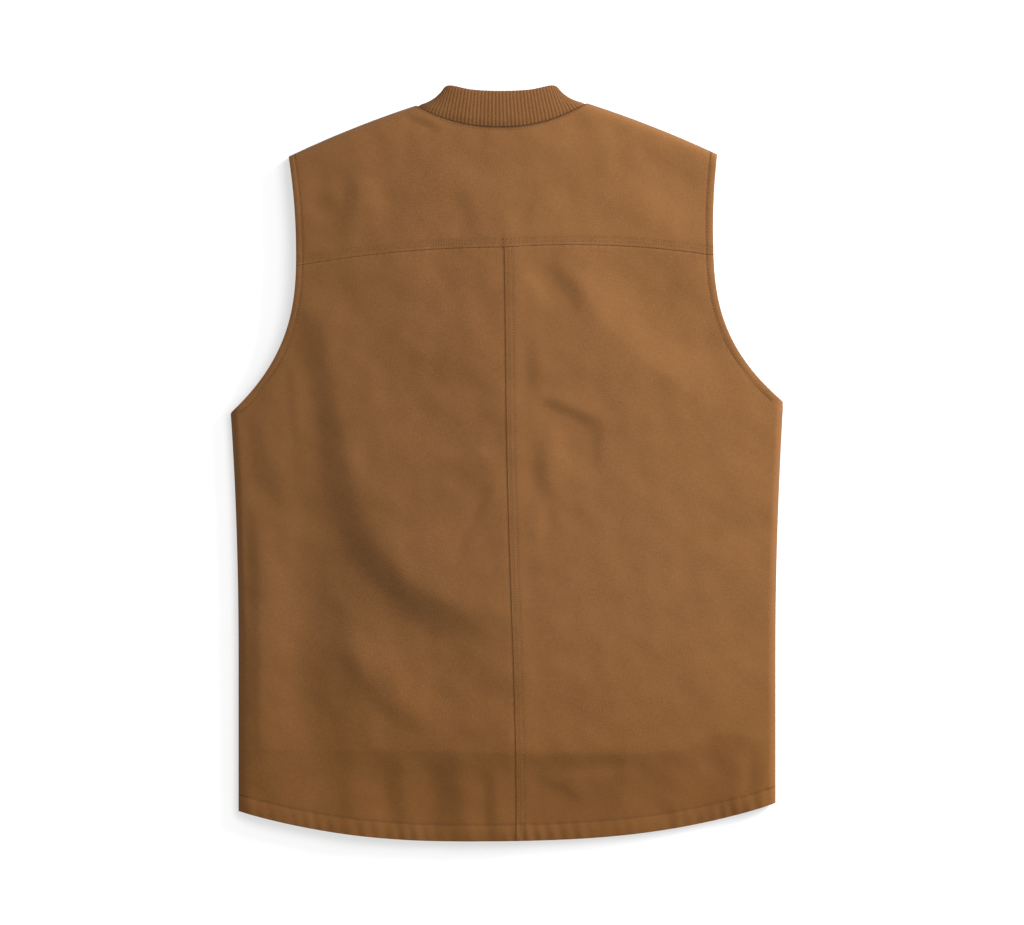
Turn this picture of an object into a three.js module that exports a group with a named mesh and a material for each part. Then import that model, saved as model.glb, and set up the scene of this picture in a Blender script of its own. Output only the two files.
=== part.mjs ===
// Canvas work vest with a rib-knit collar, zipped up and lying on its front with the back uppermost.
// Millimetres. +X runs to the wearer's right, +Y from hem to collar and +Z up from the floor.
// The origin is on the floor under the middle of the vest.

import * as THREE from "three";

const { clamp, degToRad, lerp, smoothstep } = THREE.MathUtils;

// Driving dimensions of the vest laid flat
const LENGTH = 794;
const CHEST_HALF = 290.5;
const WAIST_HALF = 282.3;
const FOLD_RADIUS = 8;
const CANVAS = 1.6;
const KNIT = 3;
const SEAM_GAP = 0.3;

// Outline: each side of the worn vest lies a little differently
const TOP = LENGTH / 2;
const BOTTOM = -LENGTH / 2;
const LEFT = {
  sign: -1, underarm: 53, yokeTilt: 0, yokeDrop: 19.2, shoulderLift: 0.5,
  hemReach: 225, hemRise: 29.5, hemPower: 2.15,
};
const RIGHT = {
  sign: 1, underarm: 65, yokeTilt: 16, yokeDrop: 24.1, shoulderLift: 3,
  hemReach: 310, hemRise: 33, hemPower: 2.85,
};
const FLARE_FROM = -200;
const FLARE_TO = 57;
const LEAN = { from: -50, reach: 446, shift: -6.3 };

// Armholes, shoulders and neck
const ARMHOLE = { half: 219, y: 235, power: 2.8, frontScoop: 12 };
const SHOULDER_TIP = { x: 225, y: 322.5 };
const NECK_POINT = { x: 90, y: 376 };
const SHOULDER_BOW = 2.5;
const NECK_POWER = 2.3;
const BACK_NECK_DEPTH = 23;
const FRONT_NECK_DEPTH = 92;
const FRONT_NECK_STEEPNESS = 0.4;

// Seams and turned edges
const YOKE_SEAM_Y = 226.8;
const YOKE_SEAM_HALF = 220;
const CENTRE_SEAM = { x: -0.4, drift: 10.2, from: -72, to: 366 };
const HEM_HALF = 281;
const HEM_LOW_X = -50;
const FRONT_HEM_POWER = 2.15;
const FRONT_HEM_MIDDLE = BOTTOM + 21;
const HEM_DEPTH = 18;
const TURNED_EDGE = 1;
const ARMHOLE_STRIP = 7;
const LAP_WIDTH = 10;
const LAP = 1;
const STEP = 1;

// Centre front zip
const ZIP_HALF = 6;
const ZIP_CHAIN_HALF = 3;
const ZIP_CHAIN_HEIGHT = 3.2;
const ZIP_STEPS = 12;

// Height that the trapped fullness lifts the back above its folded edges, from hem to collar
const CROWN = [
  { y: BOTTOM, height: 14 },
  { y: -250, height: 22 },
  { y: -150, height: 24.5 },
  { y: 0, height: 26.5 },
  { y: 200, height: 25 },
  { y: 300, height: 20 },
  { y: TOP, height: 10 },
];
const CROWN_POWER = 1.45;
const CROWN_SHOULDER_REACH = 7;

// Crease across the whole back, below which the cloth falls away and levels out towards the hem
const LEDGE = [
  { x: -290, y: -300, slope: 0.03 },
  { x: -190, y: -301, slope: 0.17 },
  { x: -60, y: -302, slope: 0.28 },
  { x: 60, y: -304, slope: 0.27 },
  { x: 180, y: -301, slope: 0.24 },
  { x: 212, y: -287, slope: 0.21 },
  { x: 240, y: -284, slope: 0.15 },
  { x: 262, y: -288, slope: 0.03 },
  { x: 290, y: -290, slope: 0.02 },
];
const LEDGE_REACH = 55;

// Drape of the back along curved paths: roll steps the cloth up on the left of the path, depth sinks it
const FOLDS = [
  { name: "sweep_upper", from: [-216, 196], bend: [-192, 70], to: [-168, -60], width: 13, roll: 2.3 },
  { name: "sweep_lower", from: [-190, 24], bend: [-170, -174], to: [30, -188], width: 20, roll: 4.9 },
  { name: "left_lower", from: [-186, -170], bend: [-160, -240], to: [-64, -300], width: 12, roll: 1.4 },
  { name: "left_side", from: [-216, -20], bend: [-212, -180], to: [-208, -330], width: 30, depth: 7 },
  { name: "ripple_small", from: [-122, -286], bend: [-117, -345], to: [-110, -420], width: 11, roll: 1.7 },
  { name: "ripple_deep", from: [-70, -286], bend: [-63, -345], to: [-58, -424], width: 12, roll: 2.3 },
  { name: "right_armhole", from: [84, 235], bend: [100, 112], to: [275, 80], width: 17, roll: -2.9 },
  { name: "right_blade", from: [40, 216], bend: [70, 188], to: [94, 140], width: 10, roll: 1.7 },
  { name: "yoke_right", from: [126, 304], bend: [165, 276], to: [212, 226], width: 14, roll: -1.5 },
];
const DRAPE_REACH = 25;
const FOLD_SAMPLES = 60;
const FOLD_FADE = 0.32;
const ROLL_CORNER = 4;
const ROLL_REACH = 3.5;

// Collar: its top edge, from centre back (turn 0) past the neck point (turn 1) to centre front (turn 2)
const COLLAR_TOP = [
  { turn: 0, x: 0, y: 388.5, z: 27.5 },
  { turn: 0.25, x: 30, y: 390, z: 27 },
  { turn: 0.5, x: 53.5, y: 394, z: 24.5 },
  { turn: 0.75, x: 60.5, y: 391.5, z: 20.5 },
  { turn: 1, x: 55, y: 386, z: 15 },
  { turn: 1.25, x: 47, y: 374, z: 12.5 },
  { turn: 1.5, x: 36, y: 357, z: 11.5 },
  { turn: 1.75, x: 20, y: 339, z: 10.5 },
  { turn: 2, x: 2, y: 333, z: 10 },
];
const COLLAR_GAP = 0.5;
const COLLAR_END = 1;
const COLLAR_BULGE = 0.8;
const COLLAR_PINCH = 1.5;
const COLLAR_SIDE = new THREE.Vector2(0.52, 0.85);
const RIBS = 120;
const RIB_DEPTH = 0.9;
const RIB_ROWS = 3;
const SEAM_SAMPLES = 800;

// Facets of each panel
const BACK_STEPS = { left: 12, right: 11, body: 17, chest: 8 };
const YOKE_STEPS = { shoulder: 5, neck: 14, rise: 5 };
const FRONT_STEPS = { neck: 11, shoulder: 5, body: 3, chest: 4 };

const SETTLE_PASSES = 12;
const NUDGE = 1e-3;

const CANVAS_LOOK = new THREE.MeshStandardMaterial({ color: 0x885d37, roughness: 0.9, metalness: 0 });
const KNIT_LOOK = new THREE.MeshStandardMaterial({ color: 0x855a37, roughness: 0.95, metalness: 0 });
const ZIP_LOOK = new THREE.MeshStandardMaterial({ color: 0x8a6a35, roughness: 0.4, metalness: 1 });

// Smooth curve through the rows of a table, read at one value of its key column
function smoothTable(rows, key, column, value) {
  const last = rows.length - 1;
  const slope = (index) => {
    const before = rows[Math.max(index - 1, 0)];
    const after = rows[Math.min(index + 1, last)];
    return (after[column] - before[column]) / (after[key] - before[key]);
  };
  const within = clamp(value, rows[0][key], rows[last][key]);
  const next = Math.max(1, rows.findIndex((row) => row[key] >= within));
  const low = rows[next - 1];
  const high = rows[next];
  const span = high[key] - low[key];
  const t = (within - low[key]) / span;
  const rise = t * t * (3 - 2 * t);
  const bulge = slope(next - 1) * t * (1 - t) ** 2 - slope(next) * t * t * (1 - t);
  return lerp(low[column], high[column], rise) + bulge * span;
}

// Outline of the vest, before it leans

const sideOf = (x) => (x < 0 ? LEFT : RIGHT);

function sideHalf(y) {
  const flare = clamp((y - FLARE_FROM) / (FLARE_TO - FLARE_FROM), 0, 1);
  return lerp(WAIST_HALF, CHEST_HALF, flare ** 2);
}

function armholeHalf(side, y) {
  if (y >= ARMHOLE.y) {
    const climb = (y - ARMHOLE.y) / (SHOULDER_TIP.y - ARMHOLE.y);
    return lerp(ARMHOLE.half, SHOULDER_TIP.x, climb ** 2);
  }
  const fall = (ARMHOLE.y - y) / (ARMHOLE.y - side.underarm);
  return lerp(ARMHOLE.half, sideHalf(side.underarm), fall ** ARMHOLE.power);
}

function frontArmholeHalf(side, y) {
  const climb = clamp((y - side.underarm) / (SHOULDER_TIP.y - side.underarm), 0, 1);
  return armholeHalf(side, y) - ARMHOLE.frontScoop * Math.sin(Math.PI * climb);
}

const backEdge = (side, y) => (y > side.underarm ? armholeHalf(side, y) : sideHalf(y));
const frontEdge = (side, y) => (y > side.underarm ? frontArmholeHalf(side, y) : sideHalf(y));

const SHOULDER_RUN = SHOULDER_TIP.x - NECK_POINT.x;
const SHOULDER_SLOPE = (NECK_POINT.y - SHOULDER_TIP.y) / SHOULDER_RUN;
const SHOULDER_COS = 1 / Math.hypot(1, SHOULDER_SLOPE);

// How much further up one shoulder lies than a level pair would
const shoulderLift = (x) => sideOf(x).shoulderLift * smoothstep(Math.abs(x), 0, NECK_POINT.x);

// Shoulder fold, carried across the neck opening by a smooth arch
function shoulderLine(x) {
  const out = Math.abs(x) - NECK_POINT.x;
  if (out < 0) {
    const startSlope = SHOULDER_SLOPE - (4 * SHOULDER_BOW) / SHOULDER_RUN;
    const arch = (startSlope * (NECK_POINT.x ** 2 - x ** 2)) / (2 * NECK_POINT.x);
    return NECK_POINT.y + arch + shoulderLift(x);
  }
  const along = out / SHOULDER_RUN;
  const bow = 4 * SHOULDER_BOW * along * (1 - along);
  return NECK_POINT.y - SHOULDER_SLOPE * out + bow + shoulderLift(x);
}

function neckLine(x, depth) {
  return NECK_POINT.y - depth * (1 - Math.abs(x / NECK_POINT.x) ** NECK_POWER) + shoulderLift(x);
}

const backTop = (x) => (Math.abs(x) < NECK_POINT.x ? neckLine(x, BACK_NECK_DEPTH) : shoulderLine(x));
const frontTop = (x) => (Math.abs(x) < NECK_POINT.x ? neckLine(x, FRONT_NECK_DEPTH) : shoulderLine(x));

function yokeSeam(x) {
  const { yokeTilt, yokeDrop } = sideOf(x);
  const share = Math.abs(x) / YOKE_SEAM_HALF;
  return YOKE_SEAM_Y + yokeTilt * share - yokeDrop * share ** 2;
}

function backHem(x) {
  const { hemReach, hemRise, hemPower } = sideOf(x - HEM_LOW_X);
  return BOTTOM + hemRise * (Math.abs(x - HEM_LOW_X) / hemReach) ** hemPower;
}

function centreSeam(y) {
  return CENTRE_SEAM.x + CENTRE_SEAM.drift * smoothstep(-y, CENTRE_SEAM.from, CENTRE_SEAM.to);
}

function frontHem(x) {
  const sideEnd = backHem(sideOf(x).sign * HEM_HALF);
  return lerp(FRONT_HEM_MIDDLE, sideEnd, Math.abs(x / HEM_HALF) ** FRONT_HEM_POWER);
}

// Drape: how high each layer lies over the floor

const sideDistance = (x, y) => sideHalf(y) - Math.abs(x);
const shoulderDistance = (x, y) => (shoulderLine(x) - y) * SHOULDER_COS;

// Share of the fold's radius that the cloth has climbed, from 0 on the folded edge to 1 where it lies flat
function rolled(x, y) {
  const distance = Math.min(sideDistance(x, y), shoulderDistance(x, y));
  const remaining = 1 - clamp(distance / FOLD_RADIUS, 0, 1);
  return Math.sqrt(1 - remaining ** 2);
}

function crown(x, y) {
  const across = clamp(Math.abs(x) / sideHalf(y), 0, 1);
  const shoulder = 1 - Math.exp(-Math.max(shoulderDistance(x, y), 0) / CROWN_SHOULDER_REACH);
  return smoothTable(CROWN, "y", "height", y) * (1 - across ** CROWN_POWER) * shoulder;
}

// How far the cloth has fallen below the crease above the hem
function ledgeDrop(x, y) {
  const below = Math.max(smoothTable(LEDGE, "x", "y", x) - y, 0);
  return smoothTable(LEDGE, "x", "slope", x) * LEDGE_REACH * (1 - Math.exp(-below / LEDGE_REACH));
}

const FOLD_PATHS = FOLDS.map((fold) => {
  const [from, bend, to] = [fold.from, fold.bend, fold.to].map((point) => new THREE.Vector2(...point));
  const curve = new THREE.QuadraticBezierCurve(from, bend, to);
  const shares = Array.from({ length: FOLD_SAMPLES + 1 }, (_, index) => index / FOLD_SAMPLES);
  const samples = shares.map((along) => ({
    along,
    point: curve.getPoint(along),
    tangent: curve.getTangent(along),
  }));
  return { ...fold, samples };
});

// How far one fold lowers the cloth
function foldDrop({ samples, width, roll = 0, depth = 0 }, x, y) {
  const place = new THREE.Vector2(x, y);
  const away = samples.map(({ point }) => point.distanceTo(place));
  const nearest = samples[away.indexOf(Math.min(...away))];
  const gap = place.sub(nearest.point);
  const share = (Math.sign(nearest.tangent.cross(gap)) * gap.length()) / width;
  const fade = smoothstep(nearest.along, 0, FOLD_FADE) * smoothstep(1 - nearest.along, 0, FOLD_FADE);
  const ramp = share / (1 + share ** ROLL_CORNER) ** (1 / ROLL_CORNER);
  const step = ramp * Math.exp(-((share / ROLL_REACH) ** 2));
  return fade * (depth * Math.exp(-(share ** 2)) - roll * step);
}

// All the folds together, which die out towards the folded side edges
function drape(x, y) {
  const free = smoothstep(sideDistance(x, y), FOLD_RADIUS, DRAPE_REACH);
  return FOLD_PATHS.reduce((drop, fold) => drop + free * foldDrop(fold, x, y), 0);
}

const frontHeight = (x, y) => FOLD_RADIUS * (1 - rolled(x, y));

function backHeight(x, y) {
  const climb = rolled(x, y);
  return FOLD_RADIUS * (1 + climb) + SEAM_GAP + crown(x, y) - drape(x, y) - climb * ledgeDrop(x, y);
}

// Outward direction of a layer whose height is given over the floor
function outward(height, x, y, facing) {
  const slopeX = (height(x + NUDGE, y) - height(x - NUDGE, y)) / (2 * NUDGE);
  const slopeY = (height(x, y + NUDGE) - height(x, y - NUDGE)) / (2 * NUDGE);
  return new THREE.Vector3(-slopeX, -slopeY, 1).normalize().multiplyScalar(facing);
}

function leaned(point) {
  const climb = Math.max(point.y - LEAN.from, 0) / LEAN.reach;
  point.x += LEAN.shift * climb ** 2;
  return point;
}

// Stations along an edge: a share of the way, plus a distance in millimetres

const at = (share, offset = 0) => ({ share, offset });
const leg = (steps, share, offset = 0) => ({ steps, to: at(share, offset) });

function stations(first, ...legs) {
  const list = [first];
  for (const { steps, to } of legs) {
    const from = list.at(-1);
    for (let step = 1; step <= steps; step += 1) {
      const t = step / steps;
      list.push(at(lerp(from.share, to.share, t), lerp(from.offset, to.offset, t)));
    }
  }
  return list;
}

const FOLD_ARC = [30, 60, 90].map((angle) => FOLD_RADIUS * (1 - Math.cos(degToRad(angle))));
const [ARC_LOW, ARC_MIDDLE, ARC_HIGH] = FOLD_ARC;
const FOLD_START = FOLD_ARC.map((inset) => leg(1, 0, inset));

function foldEnd(steps, scale = 1) {
  const insets = [ARC_HIGH, ARC_MIDDLE, ARC_LOW, 0];
  return insets.map((inset, index) => leg(index === 0 ? steps : 1, 1, -inset * scale));
}

const mirroredStations = (list) => list.toReversed().map(({ share, offset }) => at(1 - share, -offset));

// Points of a panel between two side edges and a lower and an upper edge, column by column
function panelPoints(columns, rows, edges) {
  const across = (column, y) => lerp(edges.left(y), edges.right(y), column.share) + column.offset;
  const settle = (column, edge) => {
    let y = edge(0);
    for (let pass = 0; pass < SETTLE_PASSES; pass += 1) {
      y = edge(across(column, y));
    }
    return y;
  };
  return columns.map((column) => {
    const bottom = settle(column, edges.bottom);
    const top = settle(column, edges.top);
    return rows.map((row) => {
      const y = lerp(bottom, top, row.share) + row.offset;
      return { x: across(column, y), y };
    });
  });
}

// Closed wall between an outer and an inner skin, each a grid of points, with a rim all round
function wallGeometry(skins, flipped = false) {
  const width = skins.length;
  const depth = skins[0].length;
  const outer = (column, row) => column * depth + row;
  const inner = (column, row) => width * depth + outer(column, row);
  const positions = [
    ...skins.flat().flatMap((point) => point.outer.toArray()),
    ...skins.flat().flatMap((point) => point.inner.toArray()),
  ];
  const triangles = [];
  const quad = (a, b, c, d) => {
    const corners = flipped ? [a, d, c, b] : [a, b, c, d];
    triangles.push(corners[0], corners[1], corners[2], corners[0], corners[2], corners[3]);
  };
  for (let column = 0; column + 1 < width; column += 1) {
    for (let row = 0; row + 1 < depth; row += 1) {
      quad(outer(column, row), outer(column + 1, row), outer(column + 1, row + 1), outer(column, row + 1));
      quad(inner(column, row), inner(column, row + 1), inner(column + 1, row + 1), inner(column + 1, row));
    }
  }
  const lastRow = depth - 1;
  for (let column = 0; column + 1 < width; column += 1) {
    const next = column + 1;
    quad(inner(column, 0), inner(next, 0), outer(next, 0), outer(column, 0));
    quad(outer(column, lastRow), outer(next, lastRow), inner(next, lastRow), inner(column, lastRow));
  }
  const lastColumn = width - 1;
  for (let row = 0; row + 1 < depth; row += 1) {
    const next = row + 1;
    quad(outer(0, row), outer(0, next), inner(0, next), inner(0, row));
    quad(inner(lastColumn, row), inner(lastColumn, next), outer(lastColumn, next), outer(lastColumn, row));
  }
  const geometry = new THREE.BufferGeometry();
  geometry.setAttribute("position", new THREE.Float32BufferAttribute(positions, 3));
  geometry.setIndex(triangles);
  geometry.computeVertexNormals();
  return geometry;
}

// Extra cloth turned under along the hem and the armhole
function turnedUnder(x, y, hem, edge) {
  const side = sideOf(x);
  const onHem = y - hem(x) < HEM_DEPTH - STEP / 2;
  const onArmhole = y > side.underarm && edge(side, y) - Math.abs(x) < ARMHOLE_STRIP;
  return onHem || onArmhole ? TURNED_EDGE : 0;
}

// Panel of the back: lap(x, y) tells where it lies over its neighbour, with the seam allowance inside
function backPanel(columns, rows, edges, lap, hem) {
  const skins = panelPoints(columns, rows, edges).map((column) => column.map(({ x, y }) => {
    const normal = outward(backHeight, x, y, 1);
    const raised = lap(x, y) < LAP_WIDTH - STEP / 2 ? LAP : 0;
    const surface = new THREE.Vector3(x, y, backHeight(x, y));
    const depth = CANVAS + turnedUnder(x, y, hem, backEdge);
    return {
      outer: leaned(surface.clone().addScaledVector(normal, raised)),
      inner: leaned(surface.clone().addScaledVector(normal, -depth)),
    };
  }));
  return wallGeometry(skins);
}

function frontPanel(side) {
  const zipEdge = side.sign * (ZIP_HALF + SEAM_GAP);
  const outerEdge = (y) => side.sign * frontEdge(side, y);
  const edges = {
    left: side === LEFT ? outerEdge : () => zipEdge,
    right: side === LEFT ? () => zipEdge : outerEdge,
    bottom: frontHem,
    top: frontTop,
  };
  const zipReach = Math.abs(zipEdge);
  const neckShare = (NECK_POINT.x - zipReach) / (frontEdge(side, NECK_POINT.y) - zipReach);
  const outwards = stations(
    at(0),
    leg(FRONT_STEPS.neck, neckShare, -ARC_HIGH * FRONT_NECK_STEEPNESS),
    leg(1, neckShare, -ARC_MIDDLE * FRONT_NECK_STEEPNESS),
    leg(1, neckShare, -ARC_LOW * FRONT_NECK_STEEPNESS),
    leg(1, neckShare),
    ...foldEnd(FRONT_STEPS.shoulder),
  );
  const columns = side === LEFT ? mirroredStations(outwards) : outwards;
  const hemEnd = frontHem(HEM_HALF * side.sign);
  const underarmShare = (side.underarm - hemEnd) / (SHOULDER_TIP.y - hemEnd);
  const rows = stations(
    at(0),
    leg(1, 0, HEM_DEPTH - STEP),
    leg(1, 0, HEM_DEPTH),
    leg(FRONT_STEPS.body, underarmShare),
    ...foldEnd(FRONT_STEPS.chest, 1 / SHOULDER_COS),
  );
  const skins = panelPoints(columns, rows, edges).map((column) => column.map(({ x, y }) => {
    const normal = outward(frontHeight, x, y, -1);
    const surface = new THREE.Vector3(x, y, frontHeight(x, y));
    const depth = CANVAS + turnedUnder(x, y, frontHem, frontEdge);
    return {
      outer: leaned(surface.clone()),
      inner: leaned(surface.clone().addScaledVector(normal, -depth)),
    };
  }));
  return wallGeometry(skins, true);
}

// Rows of a back panel: hem strip, then up to the underarm, then up to the yoke seam
function backRows(side) {
  const low = backHem(side.sign * sideHalf(BOTTOM));
  const high = yokeSeam(side.sign * YOKE_SEAM_HALF);
  const underarmShare = (side.underarm - low) / (high - low);
  return stations(
    at(0),
    leg(1, 0, HEM_DEPTH - STEP),
    leg(1, 0, HEM_DEPTH),
    leg(BACK_STEPS.body, underarmShare),
    leg(BACK_STEPS.chest, 1),
  );
}

const neverLapped = () => LAP_WIDTH;

function backPanelLeft() {
  const edges = {
    left: (y) => -backEdge(LEFT, y),
    right: (y) => centreSeam(y) - SEAM_GAP / 2,
    bottom: backHem,
    top: (x) => yokeSeam(x) - SEAM_GAP / 2,
  };
  const columns = stations(at(0), ...FOLD_START, leg(BACK_STEPS.left, 1));
  return backPanel(columns, backRows(LEFT), edges, neverLapped, edges.bottom);
}

function backPanelRight() {
  const edges = {
    left: (y) => centreSeam(y) + SEAM_GAP / 2,
    right: (y) => backEdge(RIGHT, y),
    bottom: backHem,
    top: (x) => yokeSeam(x) - SEAM_GAP / 2,
  };
  const columns = stations(
    at(0),
    leg(1, 0, LAP_WIDTH - STEP),
    leg(1, 0, LAP_WIDTH),
    ...foldEnd(BACK_STEPS.right),
  );
  return backPanel(columns, backRows(RIGHT), edges, (x, y) => x - centreSeam(y), edges.bottom);
}

function backYoke() {
  const edges = {
    left: (y) => -armholeHalf(LEFT, y),
    right: (y) => armholeHalf(RIGHT, y),
    bottom: (x) => yokeSeam(x) + SEAM_GAP / 2,
    top: backTop,
  };
  const neckShare = 0.5 - NECK_POINT.x / (2 * armholeHalf(RIGHT, NECK_POINT.y));
  const columns = stations(
    at(0),
    leg(1, 0, ARMHOLE_STRIP + STEP),
    leg(YOKE_STEPS.shoulder, neckShare),
    ...FOLD_ARC.map((inset) => leg(1, neckShare, inset)),
    leg(YOKE_STEPS.neck, 1 - neckShare, -ARC_HIGH),
    leg(1, 1 - neckShare, -ARC_MIDDLE),
    leg(1, 1 - neckShare, -ARC_LOW),
    leg(1, 1 - neckShare),
    leg(YOKE_STEPS.shoulder, 1, -ARMHOLE_STRIP - STEP),
    leg(1, 1),
  );
  const rows = stations(
    at(0),
    leg(1, 0, LAP_WIDTH - STEP),
    leg(1, 0, LAP_WIDTH),
    ...foldEnd(YOKE_STEPS.rise, 1 / SHOULDER_COS),
  );
  return backPanel(columns, rows, edges, (x, y) => y - yokeSeam(x), () => BOTTOM);
}

// Rib-knit collar, a band from the neck seam to its top edge, open at centre front

const mirrored = (row) => ({ ...row, turn: -row.turn, x: -row.x });
const COLLAR_EDGE = [...COLLAR_TOP.slice(1).reverse().map(mirrored), ...COLLAR_TOP];

function neckSeam(turn) {
  const side = Math.sign(turn) || 1;
  const round = Math.abs(turn);
  const swing = Math.sin(degToRad(90 * Math.min(round, 2 - round)));
  if (round <= 1) {
    const x = side * NECK_POINT.x * swing;
    const y = backTop(x);
    return new THREE.Vector3(x, y, backHeight(x, y) - (SEAM_GAP / 2) * round);
  }
  const x = side * lerp(COLLAR_END, NECK_POINT.x, swing);
  const y = frontTop(x);
  return new THREE.Vector3(x, y, frontHeight(x, y) + (SEAM_GAP / 2) * (2 - round));
}

function collarTop(turn) {
  const [x, y, z] = ["x", "y", "z"].map((column) => smoothTable(COLLAR_EDGE, "turn", column, turn));
  return new THREE.Vector3(x, y + shoulderLift(x), z);
}

function collarPoint(turn, rise) {
  const angle = degToRad(90 * turn);
  const sideways = Math.sin(angle);
  const upright = Math.abs(sideways);
  const out = new THREE.Vector3(COLLAR_SIDE.x * sideways, COLLAR_SIDE.y * upright, Math.cos(angle));
  const bend = COLLAR_PINCH * upright - COLLAR_BULGE * Math.max(out.z, 0);
  const waist = bend * 4 * rise * (1 - rise);
  return neckSeam(turn).lerp(collarTop(turn), rise).addScaledVector(out, -waist);
}

// Outward direction of the panel that the collar is sewn to
function neckNormal(turn) {
  const { x, y } = neckSeam(turn);
  return Math.abs(turn) <= 1 ? outward(backHeight, x, y, 1) : outward(frontHeight, x, y, -1);
}

// Outward direction of the collar itself
function collarNormal(turn, rise) {
  const [back, ahead] = [Math.max(turn - NUDGE, -2), Math.min(turn + NUDGE, 2)];
  const around = collarPoint(ahead, rise).sub(collarPoint(back, rise));
  const upward = collarPoint(turn, rise + NUDGE).sub(collarPoint(turn, rise - NUDGE));
  return around.cross(upward).normalize();
}

// Turns that divide the neck seam into equal lengths
function equalTurns(count) {
  const turns = Array.from({ length: SEAM_SAMPLES + 1 }, (_, index) => lerp(-2, 2, index / SEAM_SAMPLES));
  const lengths = [0];
  turns.slice(1).forEach((turn, index) => {
    lengths.push(lengths[index] + neckSeam(turn).distanceTo(neckSeam(turns[index])));
  });
  const rows = turns.map((turn, index) => ({ turn, length: lengths[index] }));
  const total = lengths.at(-1);
  return Array.from({ length: count + 1 }, (_, index) => {
    const length = (total * index) / count;
    const next = Math.max(1, rows.findIndex((row) => row.length >= length - NUDGE));
    const [low, high] = [rows[next - 1], rows[next]];
    const share = (length - low.length) / (high.length - low.length);
    return lerp(low.turn, high.turn, clamp(share, 0, 1));
  });
}

function ribCollar() {
  const skins = equalTurns(2 * RIBS).map((turn, column) => {
    const length = neckSeam(turn).distanceTo(collarTop(turn));
    const first = COLLAR_GAP / length;
    const hollow = column % 2 === 0 ? 0 : RIB_DEPTH;
    return Array.from({ length: RIB_ROWS + 1 }, (_, row) => {
      const rise = lerp(first, 1, row / RIB_ROWS);
      const point = collarPoint(turn, rise);
      const normal = row === 0 ? neckNormal(turn) : collarNormal(turn, rise);
      return {
        outer: leaned(point.clone().addScaledVector(normal, -hollow)),
        inner: leaned(point.clone().addScaledVector(normal, -KNIT)),
      };
    });
  });
  return wallGeometry(skins);
}

// Closed zip between the front panels: a tape with its chain of teeth inside
function frontZip() {
  const low = frontHem(0);
  const high = frontTop(0);
  const section = new THREE.Shape([
    new THREE.Vector2(-ZIP_HALF, 0),
    new THREE.Vector2(ZIP_HALF, 0),
    new THREE.Vector2(ZIP_HALF, CANVAS),
    new THREE.Vector2(ZIP_CHAIN_HALF, CANVAS),
    new THREE.Vector2(ZIP_CHAIN_HALF, ZIP_CHAIN_HEIGHT),
    new THREE.Vector2(-ZIP_CHAIN_HALF, ZIP_CHAIN_HEIGHT),
    new THREE.Vector2(-ZIP_CHAIN_HALF, CANVAS),
    new THREE.Vector2(-ZIP_HALF, CANVAS),
  ]);
  const run = { depth: high - low, steps: ZIP_STEPS, bevelEnabled: false };
  const geometry = new THREE.ExtrudeGeometry(section, run);
  geometry.rotateX(Math.PI / 2);
  geometry.translate(0, high, 0);
  const position = geometry.getAttribute("position");
  const point = new THREE.Vector3();
  for (let index = 0; index < position.count; index += 1) {
    leaned(point.fromBufferAttribute(position, index));
    position.setXYZ(index, point.x, point.y, point.z);
  }
  return geometry;
}

function piece(name, geometry, look) {
  const mesh = new THREE.Mesh(geometry, look);
  mesh.name = name;
  return mesh;
}

const vest = new THREE.Group();
vest.add(
  piece("back_yoke", backYoke(), CANVAS_LOOK),
  piece("back_panel_left", backPanelLeft(), CANVAS_LOOK),
  piece("back_panel_right", backPanelRight(), CANVAS_LOOK),
  piece("front_panel_left", frontPanel(LEFT), CANVAS_LOOK),
  piece("front_panel_right", frontPanel(RIGHT), CANVAS_LOOK),
  piece("rib_collar", ribCollar(), KNIT_LOOK),
  piece("front_zip", frontZip(), ZIP_LOOK),
);

export default vest;
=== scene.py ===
# Canvas work vest with a rib-knit collar, zipped up and lying on its front with the back uppermost
# Tables and formulas are in millimetres, and meshes are written in metres

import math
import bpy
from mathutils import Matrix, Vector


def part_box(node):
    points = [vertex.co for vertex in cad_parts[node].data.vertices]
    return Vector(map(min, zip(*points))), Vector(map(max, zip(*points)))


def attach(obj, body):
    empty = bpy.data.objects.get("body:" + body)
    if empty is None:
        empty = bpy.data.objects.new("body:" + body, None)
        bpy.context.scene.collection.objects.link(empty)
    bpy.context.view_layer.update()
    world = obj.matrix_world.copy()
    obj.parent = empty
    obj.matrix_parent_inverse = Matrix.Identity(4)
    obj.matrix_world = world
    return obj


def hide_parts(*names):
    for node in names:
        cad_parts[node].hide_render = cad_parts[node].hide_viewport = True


bl_info = {
    "name": "Canvas work vest",
    "version": (1, 0, 0),
    "blender": (4, 5, 0),
    "location": "View3D > Sidebar > Vest",
    "description": "Canvas work vest with draped panels, sewn seams, a rib-knit collar and a zip",
    "category": "Object",
}

from collections import namedtuple

import bpy
import numpy as np

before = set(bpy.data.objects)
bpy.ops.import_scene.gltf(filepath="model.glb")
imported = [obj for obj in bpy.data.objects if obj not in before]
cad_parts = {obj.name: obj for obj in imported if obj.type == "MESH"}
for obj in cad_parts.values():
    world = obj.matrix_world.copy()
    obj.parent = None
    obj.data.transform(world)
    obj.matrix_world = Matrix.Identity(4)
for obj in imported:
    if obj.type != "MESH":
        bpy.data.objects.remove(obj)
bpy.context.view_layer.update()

MM = 0.001
ROOT = "root"
FAR = 1e3
NUDGE = 0.01
TINY = 1e-9

Side = namedtuple("Side", "sign underarm yoke_tilt yoke_drop shoulder_lift hem_reach hem_rise hem_power")
Armhole = namedtuple("Armhole", "half y power front_scoop")
Point = namedtuple("Point", "x y")
Lean = namedtuple("Lean", "start reach shift")
CentreSeam = namedtuple("CentreSeam", "x drift start end")

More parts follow.
